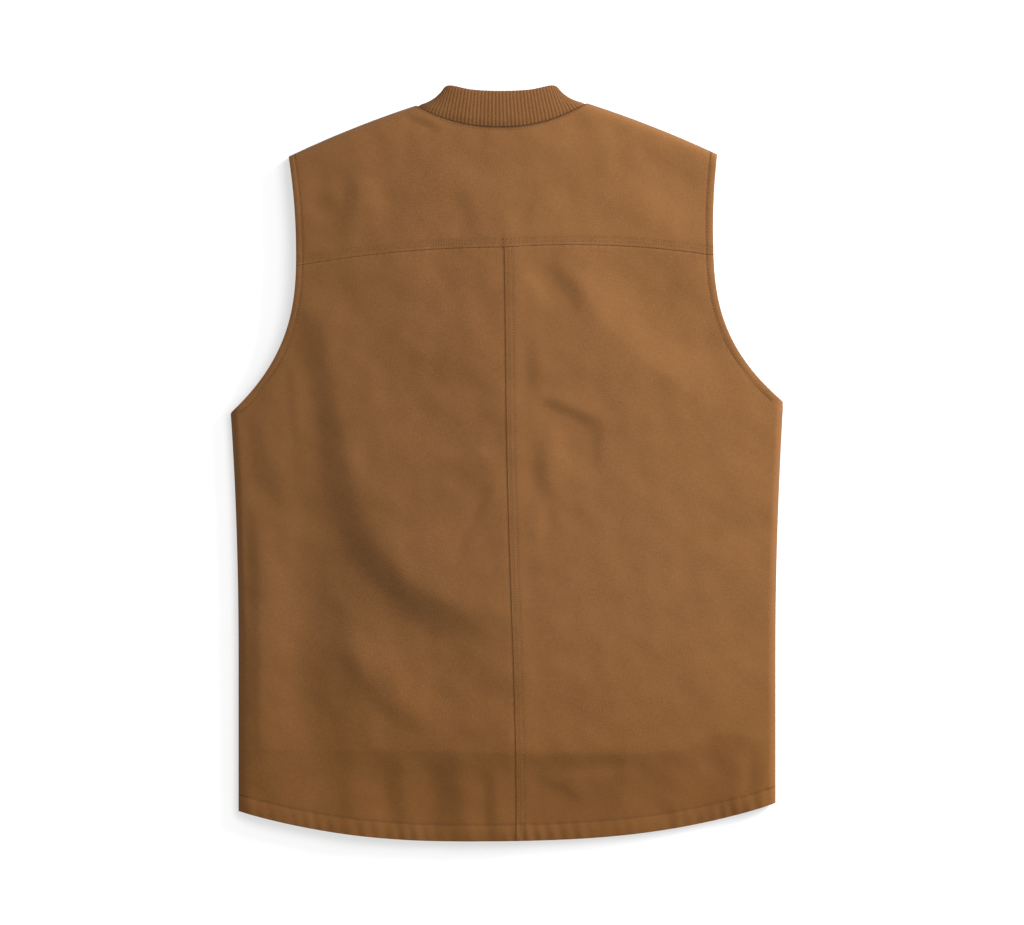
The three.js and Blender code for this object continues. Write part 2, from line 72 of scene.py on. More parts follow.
# Outline of the vest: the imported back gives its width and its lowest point
BACK_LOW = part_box("back_panel_left")[0] / MM
CHEST_HALF = -BACK_LOW.x
WAIST_HALF = CHEST_HALF - 8.2
BOTTOM = BACK_LOW.y
TOP = -BOTTOM
LEFT = Side(-1, 53, 0, 19.2, 0.5, 225, 29.5, 2.15)
RIGHT = Side(1, 65, 16, 24.1, 3, 310, 33, 2.85)
SIDES = (LEFT, RIGHT)
FLARE_FROM = -200
FLARE_TO = 57
LEAN = Lean(-50, 446, -6.3)

# Armholes, shoulders, neck and seams
ARMHOLE = Armhole(219, 235, 2.8, 12)
SHOULDER_TIP = Point(225, 322.5)
NECK_POINT = Point(90, 376)
SHOULDER_BOW = 2.5
SHOULDER_RUN = SHOULDER_TIP.x - NECK_POINT.x
SHOULDER_SLOPE = (NECK_POINT.y - SHOULDER_TIP.y) / SHOULDER_RUN
SHOULDER_COS = 1 / math.hypot(1, SHOULDER_SLOPE)
NECK_POWER = 2.3
BACK_NECK_DEPTH = 23
FRONT_NECK_DEPTH = 92
YOKE_SEAM_Y = 226.8
YOKE_SEAM_HALF = 220
CENTRE_SEAM = CentreSeam(-0.4, 10.2, -72, 366)
HEM_HALF = 281
HEM_LOW_X = -50
FRONT_HEM_POWER = 2.15
FRONT_HEM_MIDDLE = BOTTOM + 21
ZIP_HALF = 6
ZIP_TOP = NECK_POINT.y - FRONT_NECK_DEPTH
SEAM_GAP = 0.3
FOLD_RADIUS = 8
SHOULDER_ROLL = 3
LEFT_ROLL = 15
LEFT_ROLL_SPAN = (60, 330)

# Height that the trapped fullness lifts the back above its folded edges, from hem to collar
Crown = namedtuple("Crown", "y height")
CROWN = (
    Crown(BOTTOM, 14),
    Crown(-250, 22),
    Crown(-150, 24.5),
    Crown(0, 26.5),
    Crown(200, 25),
    Crown(300, 20),
    Crown(TOP, 10),
)
CROWN_POWER = 1.45
CROWN_SHOULDER_REACH = 3.5

# Crease across the whole back, below which the cloth falls away to the hem
Ledge = namedtuple("Ledge", "x y slope")
LEDGE = (
    Ledge(-290, -300, 0.02),
    Ledge(-190, -301, 0.08),
    Ledge(-60, -302, 0.25),
    Ledge(60, -304, 0.33),
    Ledge(180, -301, 0.30),
    Ledge(212, -287, 0.27),
    Ledge(240, -284, 0.17),
    Ledge(262, -288, 0.03),
    Ledge(290, -290, 0.02),
)
LEDGE_SOFT = 3
LEDGE_REACH = 55
CREASE_HEIGHT = 0.15
CREASE_WIDTH = 2.5

# Drape of the back along curved paths: roll steps the cloth up on the left of the path
Fold = namedtuple("Fold", "name start bend end width roll")
FOLDS = (
    Fold("sweep_upper", (-216, 196), (-192, 70), (-168, -60), 13, 2.3),
    Fold("sweep_side", (-229, 120), (-226, 60), (-218, 0), 5, 0.6),
    Fold("sweep_lower", (-198, 90), (-176, -200), (40, -172), 18, 3.9),
    Fold("sweep_turn", (-170, -66), (-122, -152), (-6, -172), 13, 1.5),
    Fold("sweep_end", (-110, -160), (-50, -205), (10, -240), 16, 0.8),
    Fold("left_lower", (-186, -170), (-160, -246), (-64, -304), 8, 0.7),
    Fold("left_bright", (-178, -150), (-120, -228), (-30, -292), 16, -1.1),
    Fold("left_strip", (-236, -10), (-234, -180), (-230, -350), 22, -4.2),
    Fold("left_valley", (-178, -30), (-178, -190), (-182, -340), 30, 2.8),
    Fold("ripple_outer", (-178, -296), (-174, -345), (-168, -420), 13, 1.4),
    Fold("ripple_small", (-122, -286), (-117, -345), (-110, -420), 11, 1.7),
    Fold("ripple_deep", (-68, -286), (-62, -345), (-58, -424), 16, 2.8),
    Fold("ripple_inner", (-20, -308), (-17, -350), (-14, -412), 7, 1.3),
    Fold("right_armhole", (84, 235), (100, 112), (275, 80), 21, -3.1),
    Fold("right_armhole_top", (158, 230), (180, 200), (200, 172), 12, 1.1),
    Fold("right_blade", (40, 216), (70, 188), (94, 140), 10, 1.7),
    Fold("right_crease", (26, 68), (62, 60), (98, 38), 6, 1.5),
    Fold("right_hook", (90, 58), (100, 20), (90, -16), 8, 0.9),
    Fold("right_dimple", (44, 48), (62, 22), (58, -14), 9, -1.0),
    Fold("right_hollow", (44, 28), (28, -2), (44, -44), 8, 1.1),
    Fold("seam_flare", (16, 214), (30, 186), (54, 158), 8, -1.1),
    Fold("seam_dent", (30, 140), (20, 105), (36, 70), 8, 1.0),
    Fold("right_seam", (36, -40), (42, -66), (30, -92), 6, -0.6),
    Fold("right_tail", (16, -322), (44, -334), (92, -360), 6, 0.7),
    Fold("right_tail_top", (40, -330), (90, -322), (150, -322), 6, -0.7),
    Fold("ripple_right", (120, -296), (114, -332), (110, -376), 9, 0.5),
    Fold("ripple_far", (250, -286), (250, -330), (246, -384), 7, -1.2),
    Fold("centre_left", (-144, 113), (-77, 100), (-3, 88), 16, 1.8),
    Fold("left_hollow", (-92, 72), (-60, 50), (-40, 6), 12, 1.0),
    Fold("seam_pucker", (-30, 16), (-18, 22), (-6, 36), 4, 0.5),
    Fold("seam_drag", (-10, -10), (-30, -60), (-58, -112), 5, 0.6),
    Fold("left_underarm", (-282, 46), (-261, 20), (-253, -13), 12, 0.8),
    Fold("left_side_crease", (-284, -4), (-250, -16), (-226, -50), 8, 0.9),
    Fold("collar_pull", (-104, 367), (-88, 361), (-60, 349), 4, 0.9),
    Fold("yoke_left", (-206, 290), (-180, 268), (-150, 232), 13, 1.6),
    Fold("yoke_dent", (-156, 308), (-165, 282), (-158, 252), 9, 1.5),
    Fold("yoke_middle", (-54, 292), (-36, 264), (-24, 228), 9, 0.6),
    Fold("yoke_seam", (44, 296), (28, 265), (8, 234), 6, 0.6),
    Fold("yoke_right", (126, 304), (165, 276), (212, 226), 14, -1.5),
)
FOLD_SEGMENTS = 48
FOLD_FADE = 0.32
FOLD_REACH = 7
DRAPE_REACH = 25
ROLL_CORNER = 4
ROLL_REACH = 3.5

# Small unevenness of worn cloth, as plane waves
WAVE_SEED = 11
WAVE_COUNT = 56
WAVE_LENGTHS = (22, 120)
WAVE_HEIGHT = 0.7

# Seams: the upper panel laps over a tuck of the lower one and is sewn with two rows
LAP_RISE = 0.6
LAP_FLAT = 6
LAP_END = 26
TUCK = 6
TUCK_SINK = 0.25
TUCK_EASE = 1.5
CENTRE_SINK = 0.2
CENTRE_EASE = 5
YOKE_STITCHES = (3.7, 8)
CENTRE_STITCHES = (3.3, 8.2)
NECK_STITCH = 2.5
GROOVE_DEPTH = 0.15
GROOVE_WIDTH = 0.8
EDGE_DROP = 0.25
EDGE_REACH = 0.6

# Puckers drawn up by the sewing, whose rows drift in slow swings of some pitches each
Swing = namedtuple("Swing", "amount pitches")
SEAM_PITCH = 9
SEAM_PUCKER = 0.05
SEAM_REACH = 9
SEAM_SWINGS = (Swing(2, 2),)
TURN_SWINGS = (Swing(1.6, 3.1), Swing(0.9, 1.3))
TURN_BEATS = (2.3, 0.9)
TURN_STRENGTH = 0.6
TURN_AT_ROW = 0.45
TURN_SLANT = 70
TURN_SPREAD = 2.5

# Turned edges: the row of stitches, the puff inside it, the puckers and how much shade is painted into the
# row
Turning = namedtuple("Turning", "stitch puff pitch pucker shade")
HEM = Turning(17.5, 0.5, 13.5, 0.45, 1.8)
ARMHOLE_TURN = Turning(7, 0.35, 10, 0.1, 2)
ARMHOLE_EASE = 8
TURN_MARGIN = 1

# Thickness of the cloth, as a share of its turned edges
PLAIN_SHARE = 0.62
LAPPED_SHARE = 0.2

# Worn edges, and painted shade in the grooves of stitched rows and along the line where the collar joins the
# yoke, as the shader sees them
WORN_WIDTH = 2.2
SEWN_WIDTH = 0.6
ROW_SHADE = 1
COLLAR_LINE = 1.1
COLLAR_SHADE = 3
GrooveShadeRow = namedtuple("GrooveShadeRow", "distance shade width", defaults=(ROW_SHADE, SEWN_WIDTH))

# Insets of the mesh lines that follow an edge, a double-sewn seam, a hem, a tucked edge and the zip
EDGE_INSETS = (0, 0.3, 1.1, 2.3, 4, 5.6, 7, 8.4, 10.5)
SHOULDER_INSETS = tuple(inset / SHOULDER_COS for inset in EDGE_INSETS)
SEAM_INSETS = (0, 0.4, 1.4, 2.7, 3.5, 4.3, 6, 7.4, 8.1, 8.8, 10.4, 12.4)
HEM_INSETS = (0, 0.5, 1.6, 3.5, 6, 9, 12, 14.5, 16.4, 17.5, 18.6, 20.5)
TUCK_INSETS = (-TUCK, -0.5, 0.5, 2)
ZIP_INSETS = (0, 0.5, 2)
YOKE_SPAN = 130
SETTLE_PASSES = 14
MERGE_DISTANCE = 1e-6

# Angles in degrees up to which neighbouring faces are shaded as one surface
CLOTH_ANGLE = 50
KNIT_ANGLE = 60
THREAD_ANGLE = 60
TOOTH_ANGLE = 30
SLIDER_ANGLE = 40

# Collar: its top edge, from centre back (turn 0) past the neck point (turn 1) to centre front (turn 2)
CollarTop = namedtuple("CollarTop", "turn x y z")
COLLAR_TOP = (
    CollarTop(0, 0, 390, 27.5),
    CollarTop(0.25, 30, 391.3, 27),
    CollarTop(0.5, 53.5, 395.9, 24.5),
    CollarTop(0.75, 60.5, 393.3, 20.5),
    CollarTop(1, 55, 387.2, 15),
    CollarTop(1.25, 47, 374, 12.5),
    CollarTop(1.5, 36, 357, 11.5),
    CollarTop(1.75, 20, 339, 10.5),
    CollarTop(2, 2, 333, 10),
)
COLLAR_EDGE = tuple(row._replace(turn=-row.turn, x=-row.x) for row in COLLAR_TOP[:0:-1]) + COLLAR_TOP
COLLAR_END = 1
COLLAR_BULGE = 0.8
COLLAR_PINCH = 1.5
COLLAR_SIDE = (0.52, 0.85)
COLLAR_TUCK = 0.1
COLLAR_SINK = 1.3
COLLAR_SINK_END = 0.2
FLOOR_CLEARANCE = 0.2
RIBS = 120
RIB_COLUMNS = 8
RIB_DEPTH = 0.36
RIB_POWER = 1.2
RIB_ROWS = 16
RIB_ROLL_STEPS = 6
RISE_POWER = 1.5
COLLAR_RISE = np.concatenate([[-COLLAR_TUCK], np.linspace(0, 1, RIB_ROWS) ** RISE_POWER])
SEAM_SAMPLES = 1600

# Stitches: beads whose ends dip into the cloth, in rows that stop short of the panels' edges
STITCH_DIP = 0.3
STITCH_SEAT = 0.35
BEAD_SEGMENTS = 6
BEAD_RINGS = 4
PATH_SAMPLES = 400
YOKE_ROW_END = 4
CENTRE_ROW_ENDS = (3, 0.5)
ARMHOLE_ROW_ENDS = (2, 3)
HEM_ROW_END = 10
NECK_ROW_END = 3
ZIP_ROW_X = 13
ZIP_ROW_ENDS = (4, 2)
ZIP_ROW_GAP = 2

# Zip: its tape, two staggered rows of teeth and its slider
ZIP_END = 8
ZIP_TAPE = 0.8
ZIP_TAPE_TOP = 2.2
ZIP_TAPE_COLUMNS = 7
ZIP_TAPE_ROWS = 120
ZIP_PITCH = 2.2
ZIP_STAGGER = 0.9
ZIP_TOOTH = (3.6, 1.5, 2.0)
ZIP_TOOTH_BEVEL = 0.18
ZIP_TOOTH_Z = 1.9
ZIP_SLIDER = (8.5, 12, 2.8)
ZIP_SLIDER_BEVEL = 0.8
ZIP_SLIDER_STEPS = 3

# Cloth: yarns in a metre, painted shade in its hollows, roughness of low and high yarn, and its bump
Cloth = namedtuple("Cloth", "yarns hollow roughness bump bump_height")
CANVAS_LOOK = Cloth(1150.0, 0.28, (0.98, 0.8), 0.35, 0.0005)
KNIT_LOOK = Cloth(900.0, 0.2, (1.0, 0.85), 0.5, 0.0006)
CLOTH_GLOSS = 0.08
CLOTH_SHADER = {"Specular IOR Level": CLOTH_GLOSS, "Sheen Weight": 0.03, "Sheen Roughness": 0.6}

# Noise in the materials: its scale and detail, and the low and high value that it is spread over
Noise = namedtuple("Noise", "scale detail low high", defaults=(0.0, 1.0))
YARN_NOISE = Noise(130.0, 3.0)
YARN_STRETCH = 7.0
FLECK_NOISE = Noise(900.0, 2.0)
WEFT_SHARE = 0.4
WARP_SHARE = 0.35
FLECK_SHARE = 0.25
WEAVE_SHARE = 0.35
PATCH_NOISE = Noise(16.0, 3.0, -0.35, 0.75)
SCUFF_NOISE = Noise(120.0, 3.0, 0.15, 0.95)
RUBBED_SHARE = 0.7
GRAIN_VALUES = (0.62, 1.38)
THREAD_NOISE = Noise(700.0, 3.0, 0.7, 1.3)
THREAD_ROUGHNESS = (0.85, 0.6)
THREAD_BUMP = 0.3
TARNISH_NOISE = Noise(260.0, 4.0)
METAL_ROUGHNESS = (0.25, 0.6)
METAL_BUMP = 0.1
FINE_BUMP = 0.0002

# Painted shade towards the hem, where the colour is made richer and a little darker: its saturation there,
# and the levels in metres that it changes between
HEM_SHADE_SATURATION = 1.037
HEM_SHADE_FULL_LEVEL = -0.34
HEM_SHADE_END_LEVEL = -0.15

# Stage in metres, with the photo's scale and the point that it is centred on
Lamp = namedtuple("Lamp", "azimuth elevation distance size")
KEY_LAMP = Lamp(32, 19.5, 2.73, 1.45)
TOP_LAMP = Lamp(43, 62, 3.4, 1.8)
FLOOR_SIZE = 12
FLOOR_Z = -0.0004
SENSOR = 36
PHOTO_COLUMNS = 1024
PHOTO_SCALE = 0.00105
PHOTO_WIDTH = PHOTO_COLUMNS * PHOTO_SCALE
PHOTO_CENTRE = (0.00525, 0.00105)
PHOTO_PLANE = 0.02


# Small mathematics

def mix(low, high, share):
    return low + (high - low) * share


def ease(value, low, high):
    share = np.clip((value - low) / (high - low), 0, 1)
    return share * share * (3 - 2 * share)


def bell(value, width):
    return np.exp(-((value / width) ** 2))


def slope(curve, value):
    """Slope of a curve, read a nudge to each side of each value."""
    return (curve(value + NUDGE) - curve(value - NUDGE)) / (2 * NUDGE)


def unit(vectors):
    return vectors / np.maximum(np.linalg.norm(vectors, axis=-1, keepdims=True), TINY)


def path_lengths(path):
    """Distance along a path of points, at each of them."""
    steps = np.linalg.norm(np.diff(path, axis=0), axis=1)
    return np.concatenate([[0], np.cumsum(steps)])


def smooth_table(rows, key, column, value):
    """Smooth curve through the rows of a table, read at values of its key column."""
    keys = np.array([getattr(row, key) for row in rows], float)
    heights = np.array([getattr(row, column) for row in rows], float)
    last = len(rows) - 1
    after = np.minimum(np.arange(last + 1) + 1, last)
    before = np.maximum(np.arange(last + 1) - 1, 0)
    slopes = (heights[after] - heights[before]) / (keys[after] - keys[before])
    within = np.clip(value, keys[0], keys[-1])
    upper = np.clip(np.searchsorted(keys, within), 1, last)
    lower = upper - 1
    span = keys[upper] - keys[lower]
    share = (within - keys[lower]) / span
    bulge = slopes[lower] * share * (1 - share) ** 2 - slopes[upper] * share**2 * (1 - share)
    return mix(heights[lower], heights[upper], ease(share, 0, 1)) + bulge * span


# Outline of the vest, before it leans

def by_side(x, column):
    return np.where(np.asarray(x) < 0, getattr(LEFT, column), getattr(RIGHT, column))


def side_half(y):
    flare = np.clip((y - FLARE_FROM) / (FLARE_TO - FLARE_FROM), 0, 1)
    return mix(WAIST_HALF, CHEST_HALF, flare**2)


def armhole_half(side, y):
    climb = np.maximum(y - ARMHOLE.y, 0) / (SHOULDER_TIP.y - ARMHOLE.y)
    fall = np.maximum(ARMHOLE.y - y, 0) / (ARMHOLE.y - side.underarm)
    above = mix(ARMHOLE.half, SHOULDER_TIP.x, climb**2)
    below = mix(ARMHOLE.half, side_half(side.underarm), fall**ARMHOLE.power)
    return np.where(y >= ARMHOLE.y, above, below)


def back_edge(side, y):
    return np.where(y > side.underarm, armhole_half(side, y), side_half(y))


def front_edge(side, y):
    climb = np.clip((y - side.underarm) / (SHOULDER_TIP.y - side.underarm), 0, 1)
    return back_edge(side, y) - ARMHOLE.front_scoop * np.sin(np.pi * climb)


def shoulder_lift(x):
    """How much further up one shoulder lies than a level pair would."""
    return by_side(x, "shoulder_lift") * ease(np.abs(x), 0, NECK_POINT.x)


def shoulder_line(x):
    """Shoulder fold, carried across the neck opening by a smooth arch."""
    out = np.abs(x) - NECK_POINT.x
    start_slope = SHOULDER_SLOPE - 4 * SHOULDER_BOW / SHOULDER_RUN
    arch = NECK_POINT.y + start_slope * (NECK_POINT.x**2 - np.square(x)) / (2 * NECK_POINT.x)
    along = out / SHOULDER_RUN
    fold = NECK_POINT.y - SHOULDER_SLOPE * out + 4 * SHOULDER_BOW * along * (1 - along)
    return np.where(out < 0, arch, fold) + shoulder_lift(x)


def neck_line(x, depth):
    level = NECK_POINT.y - depth * (1 - np.abs(x / NECK_POINT.x) ** NECK_POWER)
    return level + shoulder_lift(x)


def top_edge(x, depth):
    return np.where(np.abs(x) < NECK_POINT.x, neck_line(x, depth), shoulder_line(x))


def back_top(x):
    return top_edge(x, BACK_NECK_DEPTH)


def front_top(x):
    return top_edge(x, FRONT_NECK_DEPTH)


def yoke_seam(x):
    share = np.abs(x / YOKE_SEAM_HALF)
    return YOKE_SEAM_Y + by_side(x, "yoke_tilt") * share - by_side(x, "yoke_drop") * share**2


def centre_seam(y):
    return CENTRE_SEAM.x + CENTRE_SEAM.drift * ease(-y, CENTRE_SEAM.start, CENTRE_SEAM.end)


def back_hem(x):
    out = x - HEM_LOW_X
    share = np.abs(out / by_side(out, "hem_reach"))
    return BOTTOM + by_side(out, "hem_rise") * share ** by_side(out, "hem_power")


def front_hem(x):
    side_end = back_hem(by_side(x, "sign") * HEM_HALF)
    return mix(FRONT_HEM_MIDDLE, side_end, np.abs(x / HEM_HALF) ** FRONT_HEM_POWER)


def zip_edge(y):
    return np.full(np.shape(y), ZIP_HALF + SEAM_GAP)


def lean_shift(y):
    return LEAN.shift * (np.maximum(y - LEAN.start, 0) / LEAN.reach) ** 2


def leaning(x, y, z):
    """Points of the vest as it lies, with its upper part leaning to one side."""
    return np.stack(np.broadcast_arrays(x + lean_shift(y), y, z), axis=1)


# Drape: how high each layer lies over the floor

def shoulder_distance(x, y):
    return (shoulder_line(x) - y) * SHOULDER_COS


def side_roll(x, y):
    """Width of the rolled side edge, which widens towards the hem on the left."""
    return np.where(x < 0, mix(FOLD_RADIUS, LEFT_ROLL, ease(-y, *LEFT_ROLL_SPAN)), FOLD_RADIUS)


def rolled(x, y):
    """Share of the fold's radius that the cloth has climbed: 0 on the folded edge, 1 where it lies flat."""
    from_side = (side_half(y) - np.abs(x)) / side_roll(x, y)
    inset = np.minimum(from_side, shoulder_distance(x, y) / SHOULDER_ROLL)
    remaining = 1 - np.clip(inset, 0, 1)
    return np.sqrt(1 - remaining**2)


def crown(x, y):
    across = np.clip(np.abs(x) / side_half(y), 0, 1)
    shoulder = 1 - np.exp(-np.maximum(shoulder_distance(x, y), 0) / CROWN_SHOULDER_REACH)
    return smooth_table(CROWN, "y", "height", y) * (1 - across**CROWN_POWER) * shoulder


def ledge_drop(x, y):
    """How far the cloth has fallen below the crease above the hem, levelling out towards it."""
    below = smooth_table(LEDGE, "x", "y", x) - y
    fallen = LEDGE_SOFT * np.logaddexp(0, below / LEDGE_SOFT)
    deepest = smooth_table(LEDGE, "x", "slope", x) * LEDGE_REACH
    return deepest * (1 - np.exp(-fallen / LEDGE_REACH)) - CREASE_HEIGHT * bell(below, CREASE_WIDTH)


def fold_path(fold):
    share = np.linspace(0, 1, FOLD_SEGMENTS + 1)[:, None]
    start, bend, end = (np.array(point, float) for point in (fold.start, fold.bend, fold.end))
    return (1 - share) ** 2 * start + 2 * share * (1 - share) * bend + share**2 * end


def fold_drop(fold, x, y):
    """How far one fold lowers the cloth at each point."""
    path = fold_path(fold)
    nearest = np.full(x.shape, FAR)
    side = np.zeros(x.shape)
    along = np.zeros(x.shape)
    for index in range(FOLD_SEGMENTS):
        start = path[index]
        run = path[index + 1] - start
        reach = ((x - start[0]) * run[0] + (y - start[1]) * run[1]) / (run @ run)
        share = np.clip(reach, 0, 1)
        gap_x = x - start[0] - share * run[0]
        gap_y = y - start[1] - share * run[1]
        distance = np.hypot(gap_x, gap_y)
        closer = distance < nearest
        nearest = np.where(closer, distance, nearest)
        side = np.where(closer, np.sign(run[0] * gap_y - run[1] * gap_x), side)
        along = np.where(closer, (index + share) / FOLD_SEGMENTS, along)
    fade = ease(along, 0, FOLD_FADE) * ease(1 - along, 0, FOLD_FADE)
    share = side * nearest / fold.width
    ramp = share / (1 + share**ROLL_CORNER) ** (1 / ROLL_CORNER) * bell(share, ROLL_REACH)
    return -fade * fold.roll * ramp


def drape(x, y):
    """All the folds together, which die out at the folded side edges."""
    free = ease(side_half(y) - np.abs(x), FOLD_RADIUS, DRAPE_REACH)
    drop = np.zeros(x.shape)
    for fold in FOLDS:
        margin = FOLD_REACH * fold.width
        corners = np.array([fold.start, fold.bend, fold.end], float)
        low = corners.min(axis=0) - margin
        high = corners.max(axis=0) + margin
        near = (x > low[0]) & (x < high[0]) & (y > low[1]) & (y < high[1])
        if near.any():
            drop[near] += fold_drop(fold, x[near], y[near])
    return free * drop


def make_waves():
    chance = np.random.default_rng(WAVE_SEED)
    lengths = np.exp(chance.uniform(*np.log(WAVE_LENGTHS), WAVE_COUNT))
    angles = chance.uniform(0, 2 * np.pi, WAVE_COUNT)
    phases = chance.uniform(0, 2 * np.pi, WAVE_COUNT)
    heights = WAVE_HEIGHT * (lengths / WAVE_LENGTHS[1]) * math.sqrt(2 / WAVE_COUNT)
    return np.stack([2 * np.pi / lengths, angles, phases, heights], axis=1)


WAVES = make_waves()


def unevenness(x, y):
    height = np.zeros(x.shape)
    for rate, angle, phase, amount in WAVES:
        height += amount * np.cos(rate * (x * math.cos(angle) + y * math.sin(angle)) + phase)
    return height


def front_height(x, y):
    return FOLD_RADIUS * (1 - rolled(x, y))


def back_height(x, y):
    """Outer face of the back, before its seams and turned edges."""
    climb = rolled(x, y)
    flat = FOLD_RADIUS * (1 + climb) + SEAM_GAP + crown(x, y)
    return flat - drape(x, y) - climb * (ledge_drop(x, y) - unevenness(x, y))


# Relief of seams and turned edges, by distance from the edge

def groove(distance):
    return -GROOVE_DEPTH * bell(distance, GROOVE_WIDTH)


def edge_drop(inset):
    return -EDGE_DROP * np.exp(-np.maximum(inset, 0) / EDGE_REACH)


def lap_share(inset):
    return np.where(inset < -TUCK_EASE, 0, 1 - ease(inset, LAP_FLAT, LAP_END))


def ruffle(turns, along, pitch, swings):
    """Waves of one pucker a turn, drifting along the row, between -1 and 1."""
    drift = sum(swing.amount * np.sin(along / (swing.pitches * pitch)) for swing in swings)
    return np.cos(2 * np.pi * turns + drift)


def pucker(inset, along):
    swell = ruffle(along / SEAM_PITCH, along, SEAM_PITCH, SEAM_SWINGS)
    return SEAM_PUCKER * swell * np.exp(-np.abs(inset) / SEAM_REACH)


def turned_relief(inset, along, turning):
    """Puffed strip of a turned edge, with its row of stitches and the puckers that they draw."""
    strip = np.clip(inset / turning.stitch, 0, 1)
    swell = turning.puff * np.sin(np.pi * strip)
    slow, quick = (along / (pitches * turning.pitch) for pitches in TURN_BEATS)
    strength = TURN_STRENGTH + (1 - TURN_STRENGTH) * np.sin(slow + np.sin(quick))
    beyond = TURN_AT_ROW * np.exp(-(inset - turning.stitch) / TURN_SPREAD)
    reach = np.where(inset < turning.stitch, mix(1, TURN_AT_ROW, strip), beyond)
    turns = along / turning.pitch + inset / TURN_SLANT
    draw = turning.pucker * strength * reach * ruffle(turns, along, turning.pitch, TURN_SWINGS)
    return swell + draw + groove(inset - turning.stitch) + edge_drop(inset)


def armhole_stretch(edge, side, y):
    """How much longer a level step in from the armhole's edge is than a step square to it."""
    return np.hypot(1, slope(lambda level: edge(side, level), y))


def armhole_inset(edge, x, y):
    """Distance in from the armhole on each point's side, square to its edge, and far below the underarm."""
    inset = np.full(x.shape, FAR)
    for side in SIDES:
        here = (np.sign(x) == side.sign) & (y > side.underarm)
        inset = np.where(here, (edge(side, y) - np.abs(x)) / armhole_stretch(edge, side, y), inset)
    return inset


def armhole_relief(edge, x, y):
    underarm = by_side(x, "underarm")
    strip = turned_relief(armhole_inset(edge, x, y), y, ARMHOLE_TURN)
    return strip * ease(y, underarm, underarm + ARMHOLE_EASE)


def hem_relief(hem, x, y):
    return turned_relief(y - hem(x), x, HEM)


def tuck_sink(overlap, sink=TUCK_SINK, reach=TUCK_EASE):
    return -sink * ease(overlap, -reach, 0)


def yoke_surface(x, y):
    above = y - yoke_seam(x)
    across = x - centre_seam(y)
    stacked = lap_share(across) * ease(across, -2 * TUCK_EASE, 0) * (1 - ease(above, 0, LAP_END))
    rows = sum(groove(above - row) for row in YOKE_STITCHES)
    neck = np.where(np.abs(x) < NECK_POINT.x, groove(back_top(x) - y - NECK_STITCH), 0)
    seam = LAP_RISE * (lap_share(above) + stacked) + rows + edge_drop(above) + pucker(above, x)
    return back_height(x, y) + seam + neck + armhole_relief(back_edge, x, y)


def panel_surface(x, y):
    """Edges that both back panels share: hem, armholes and the tuck under the yoke."""
    under_yoke = y - yoke_seam(x)
    edges = hem_relief(back_hem, x, y) + armhole_relief(back_edge, x, y)
    return back_height(x, y) + edges + tuck_sink(under_yoke) + pucker(under_yoke, x)


def left_surface(x, y):
    across = x - centre_seam(y)
    return panel_surface(x, y) + tuck_sink(across, CENTRE_SINK, CENTRE_EASE) + pucker(across, y)


def right_surface(x, y):
    across = x - centre_seam(y)
    rows = sum(groove(across - row) for row in CENTRE_STITCHES)
    seam = LAP_RISE * lap_share(across) + rows + edge_drop(across) + pucker(across, y)
    return panel_surface(x, y) + seam


def front_surface(x, y):
    zip_inset = np.abs(x) - zip_edge(y)
    lift = hem_relief(front_hem, x, y) + armhole_relief(front_edge, x, y) + edge_drop(zip_inset)
    return front_height(x, y) - np.minimum(lift, 0)


def back_surface(x, y):
    """Outer face of whichever back panel lies uppermost at each point."""
    panels = np.where(x < centre_seam(y), left_surface(x, y), right_surface(x, y))
    return np.where(y > yoke_seam(x), yoke_surface(x, y), panels)


# Mesh tools

def deselect_all():
    if bpy.context.object is not None and bpy.context.object.mode != "OBJECT":
        bpy.ops.object.mode_set(mode="OBJECT")
    bpy.ops.object.select_all(action="DESELECT")


def edit_all():
    """Opens the active object for editing, with all of it selected."""
    bpy.ops.object.mode_set(mode="EDIT")
    bpy.ops.mesh.select_all(action="SELECT")


def end_edit():
    bpy.ops.object.mode_set(mode="OBJECT")


def named(piece, name):
    piece.name = name
    piece.data.name = name
    return piece


def new_grid(name, columns, rows):
    """Flat grid with a vertex for each column and row, and the column and row of each vertex."""
    deselect_all()
    bpy.ops.mesh.primitive_grid_add(x_subdivisions=columns - 1, y_subdivisions=rows - 1, size=1)
    piece = named(bpy.context.object, name)
    count = len(piece.data.vertices)
    if count != columns * rows:
        raise RuntimeError(f"{name}: the grid has {count} vertices, and {columns * rows} were asked for")
    flat = np.empty(3 * count, np.float32)
    piece.data.vertices.foreach_get("co", flat)
    places = flat.reshape(-1, 3)[:, :2] + 0.5
    return piece, np.rint(places * (columns - 1, rows - 1)).astype(int)


def place_vertices(piece, points):
    piece.data.vertices.foreach_set("co", (points * MM).astype(np.float32).ravel())
    piece.data.update()


def lay_uv(piece, x, y):
    """Writes each vertex's place on the flat cloth, in metres, to the UV map."""
    mesh = piece.data
    flat = np.stack([x, y], axis=1) * MM
    corners = np.empty(len(mesh.loops), np.int32)
    mesh.loops.foreach_get("vertex_index", corners)
    mesh.uv_layers[0].data.foreach_set("uv", flat[corners].astype(np.float32).ravel())


def add_mask(piece, name, values):
    mask = piece.data.attributes.new(name, "FLOAT", "POINT")
    mask.data.foreach_set("value", np.asarray(values, np.float32))


def thicken(piece, thickness, turned, lapped):
    """Gives a sheet its thickness inwards, more where its edge is turned under and less where it laps."""
    group = piece.vertex_groups.new(name="thickness")
    plain = ~(turned | lapped)
    for share, chosen in ((1.0, turned), (LAPPED_SHARE, lapped & ~turned), (PLAIN_SHARE, plain)):
        group.add(np.flatnonzero(chosen).tolist(), share, "REPLACE")
    bpy.ops.object.modifier_add(type="SOLIDIFY")
    wall = piece.modifiers[-1]
    wall.thickness = thickness / PLAIN_SHARE
    wall.offset = -1
    wall.vertex_group = group.name
    wall.use_quality_normals = True
    bpy.ops.object.modifier_apply(modifier=wall.name)
    piece.vertex_groups.clear()


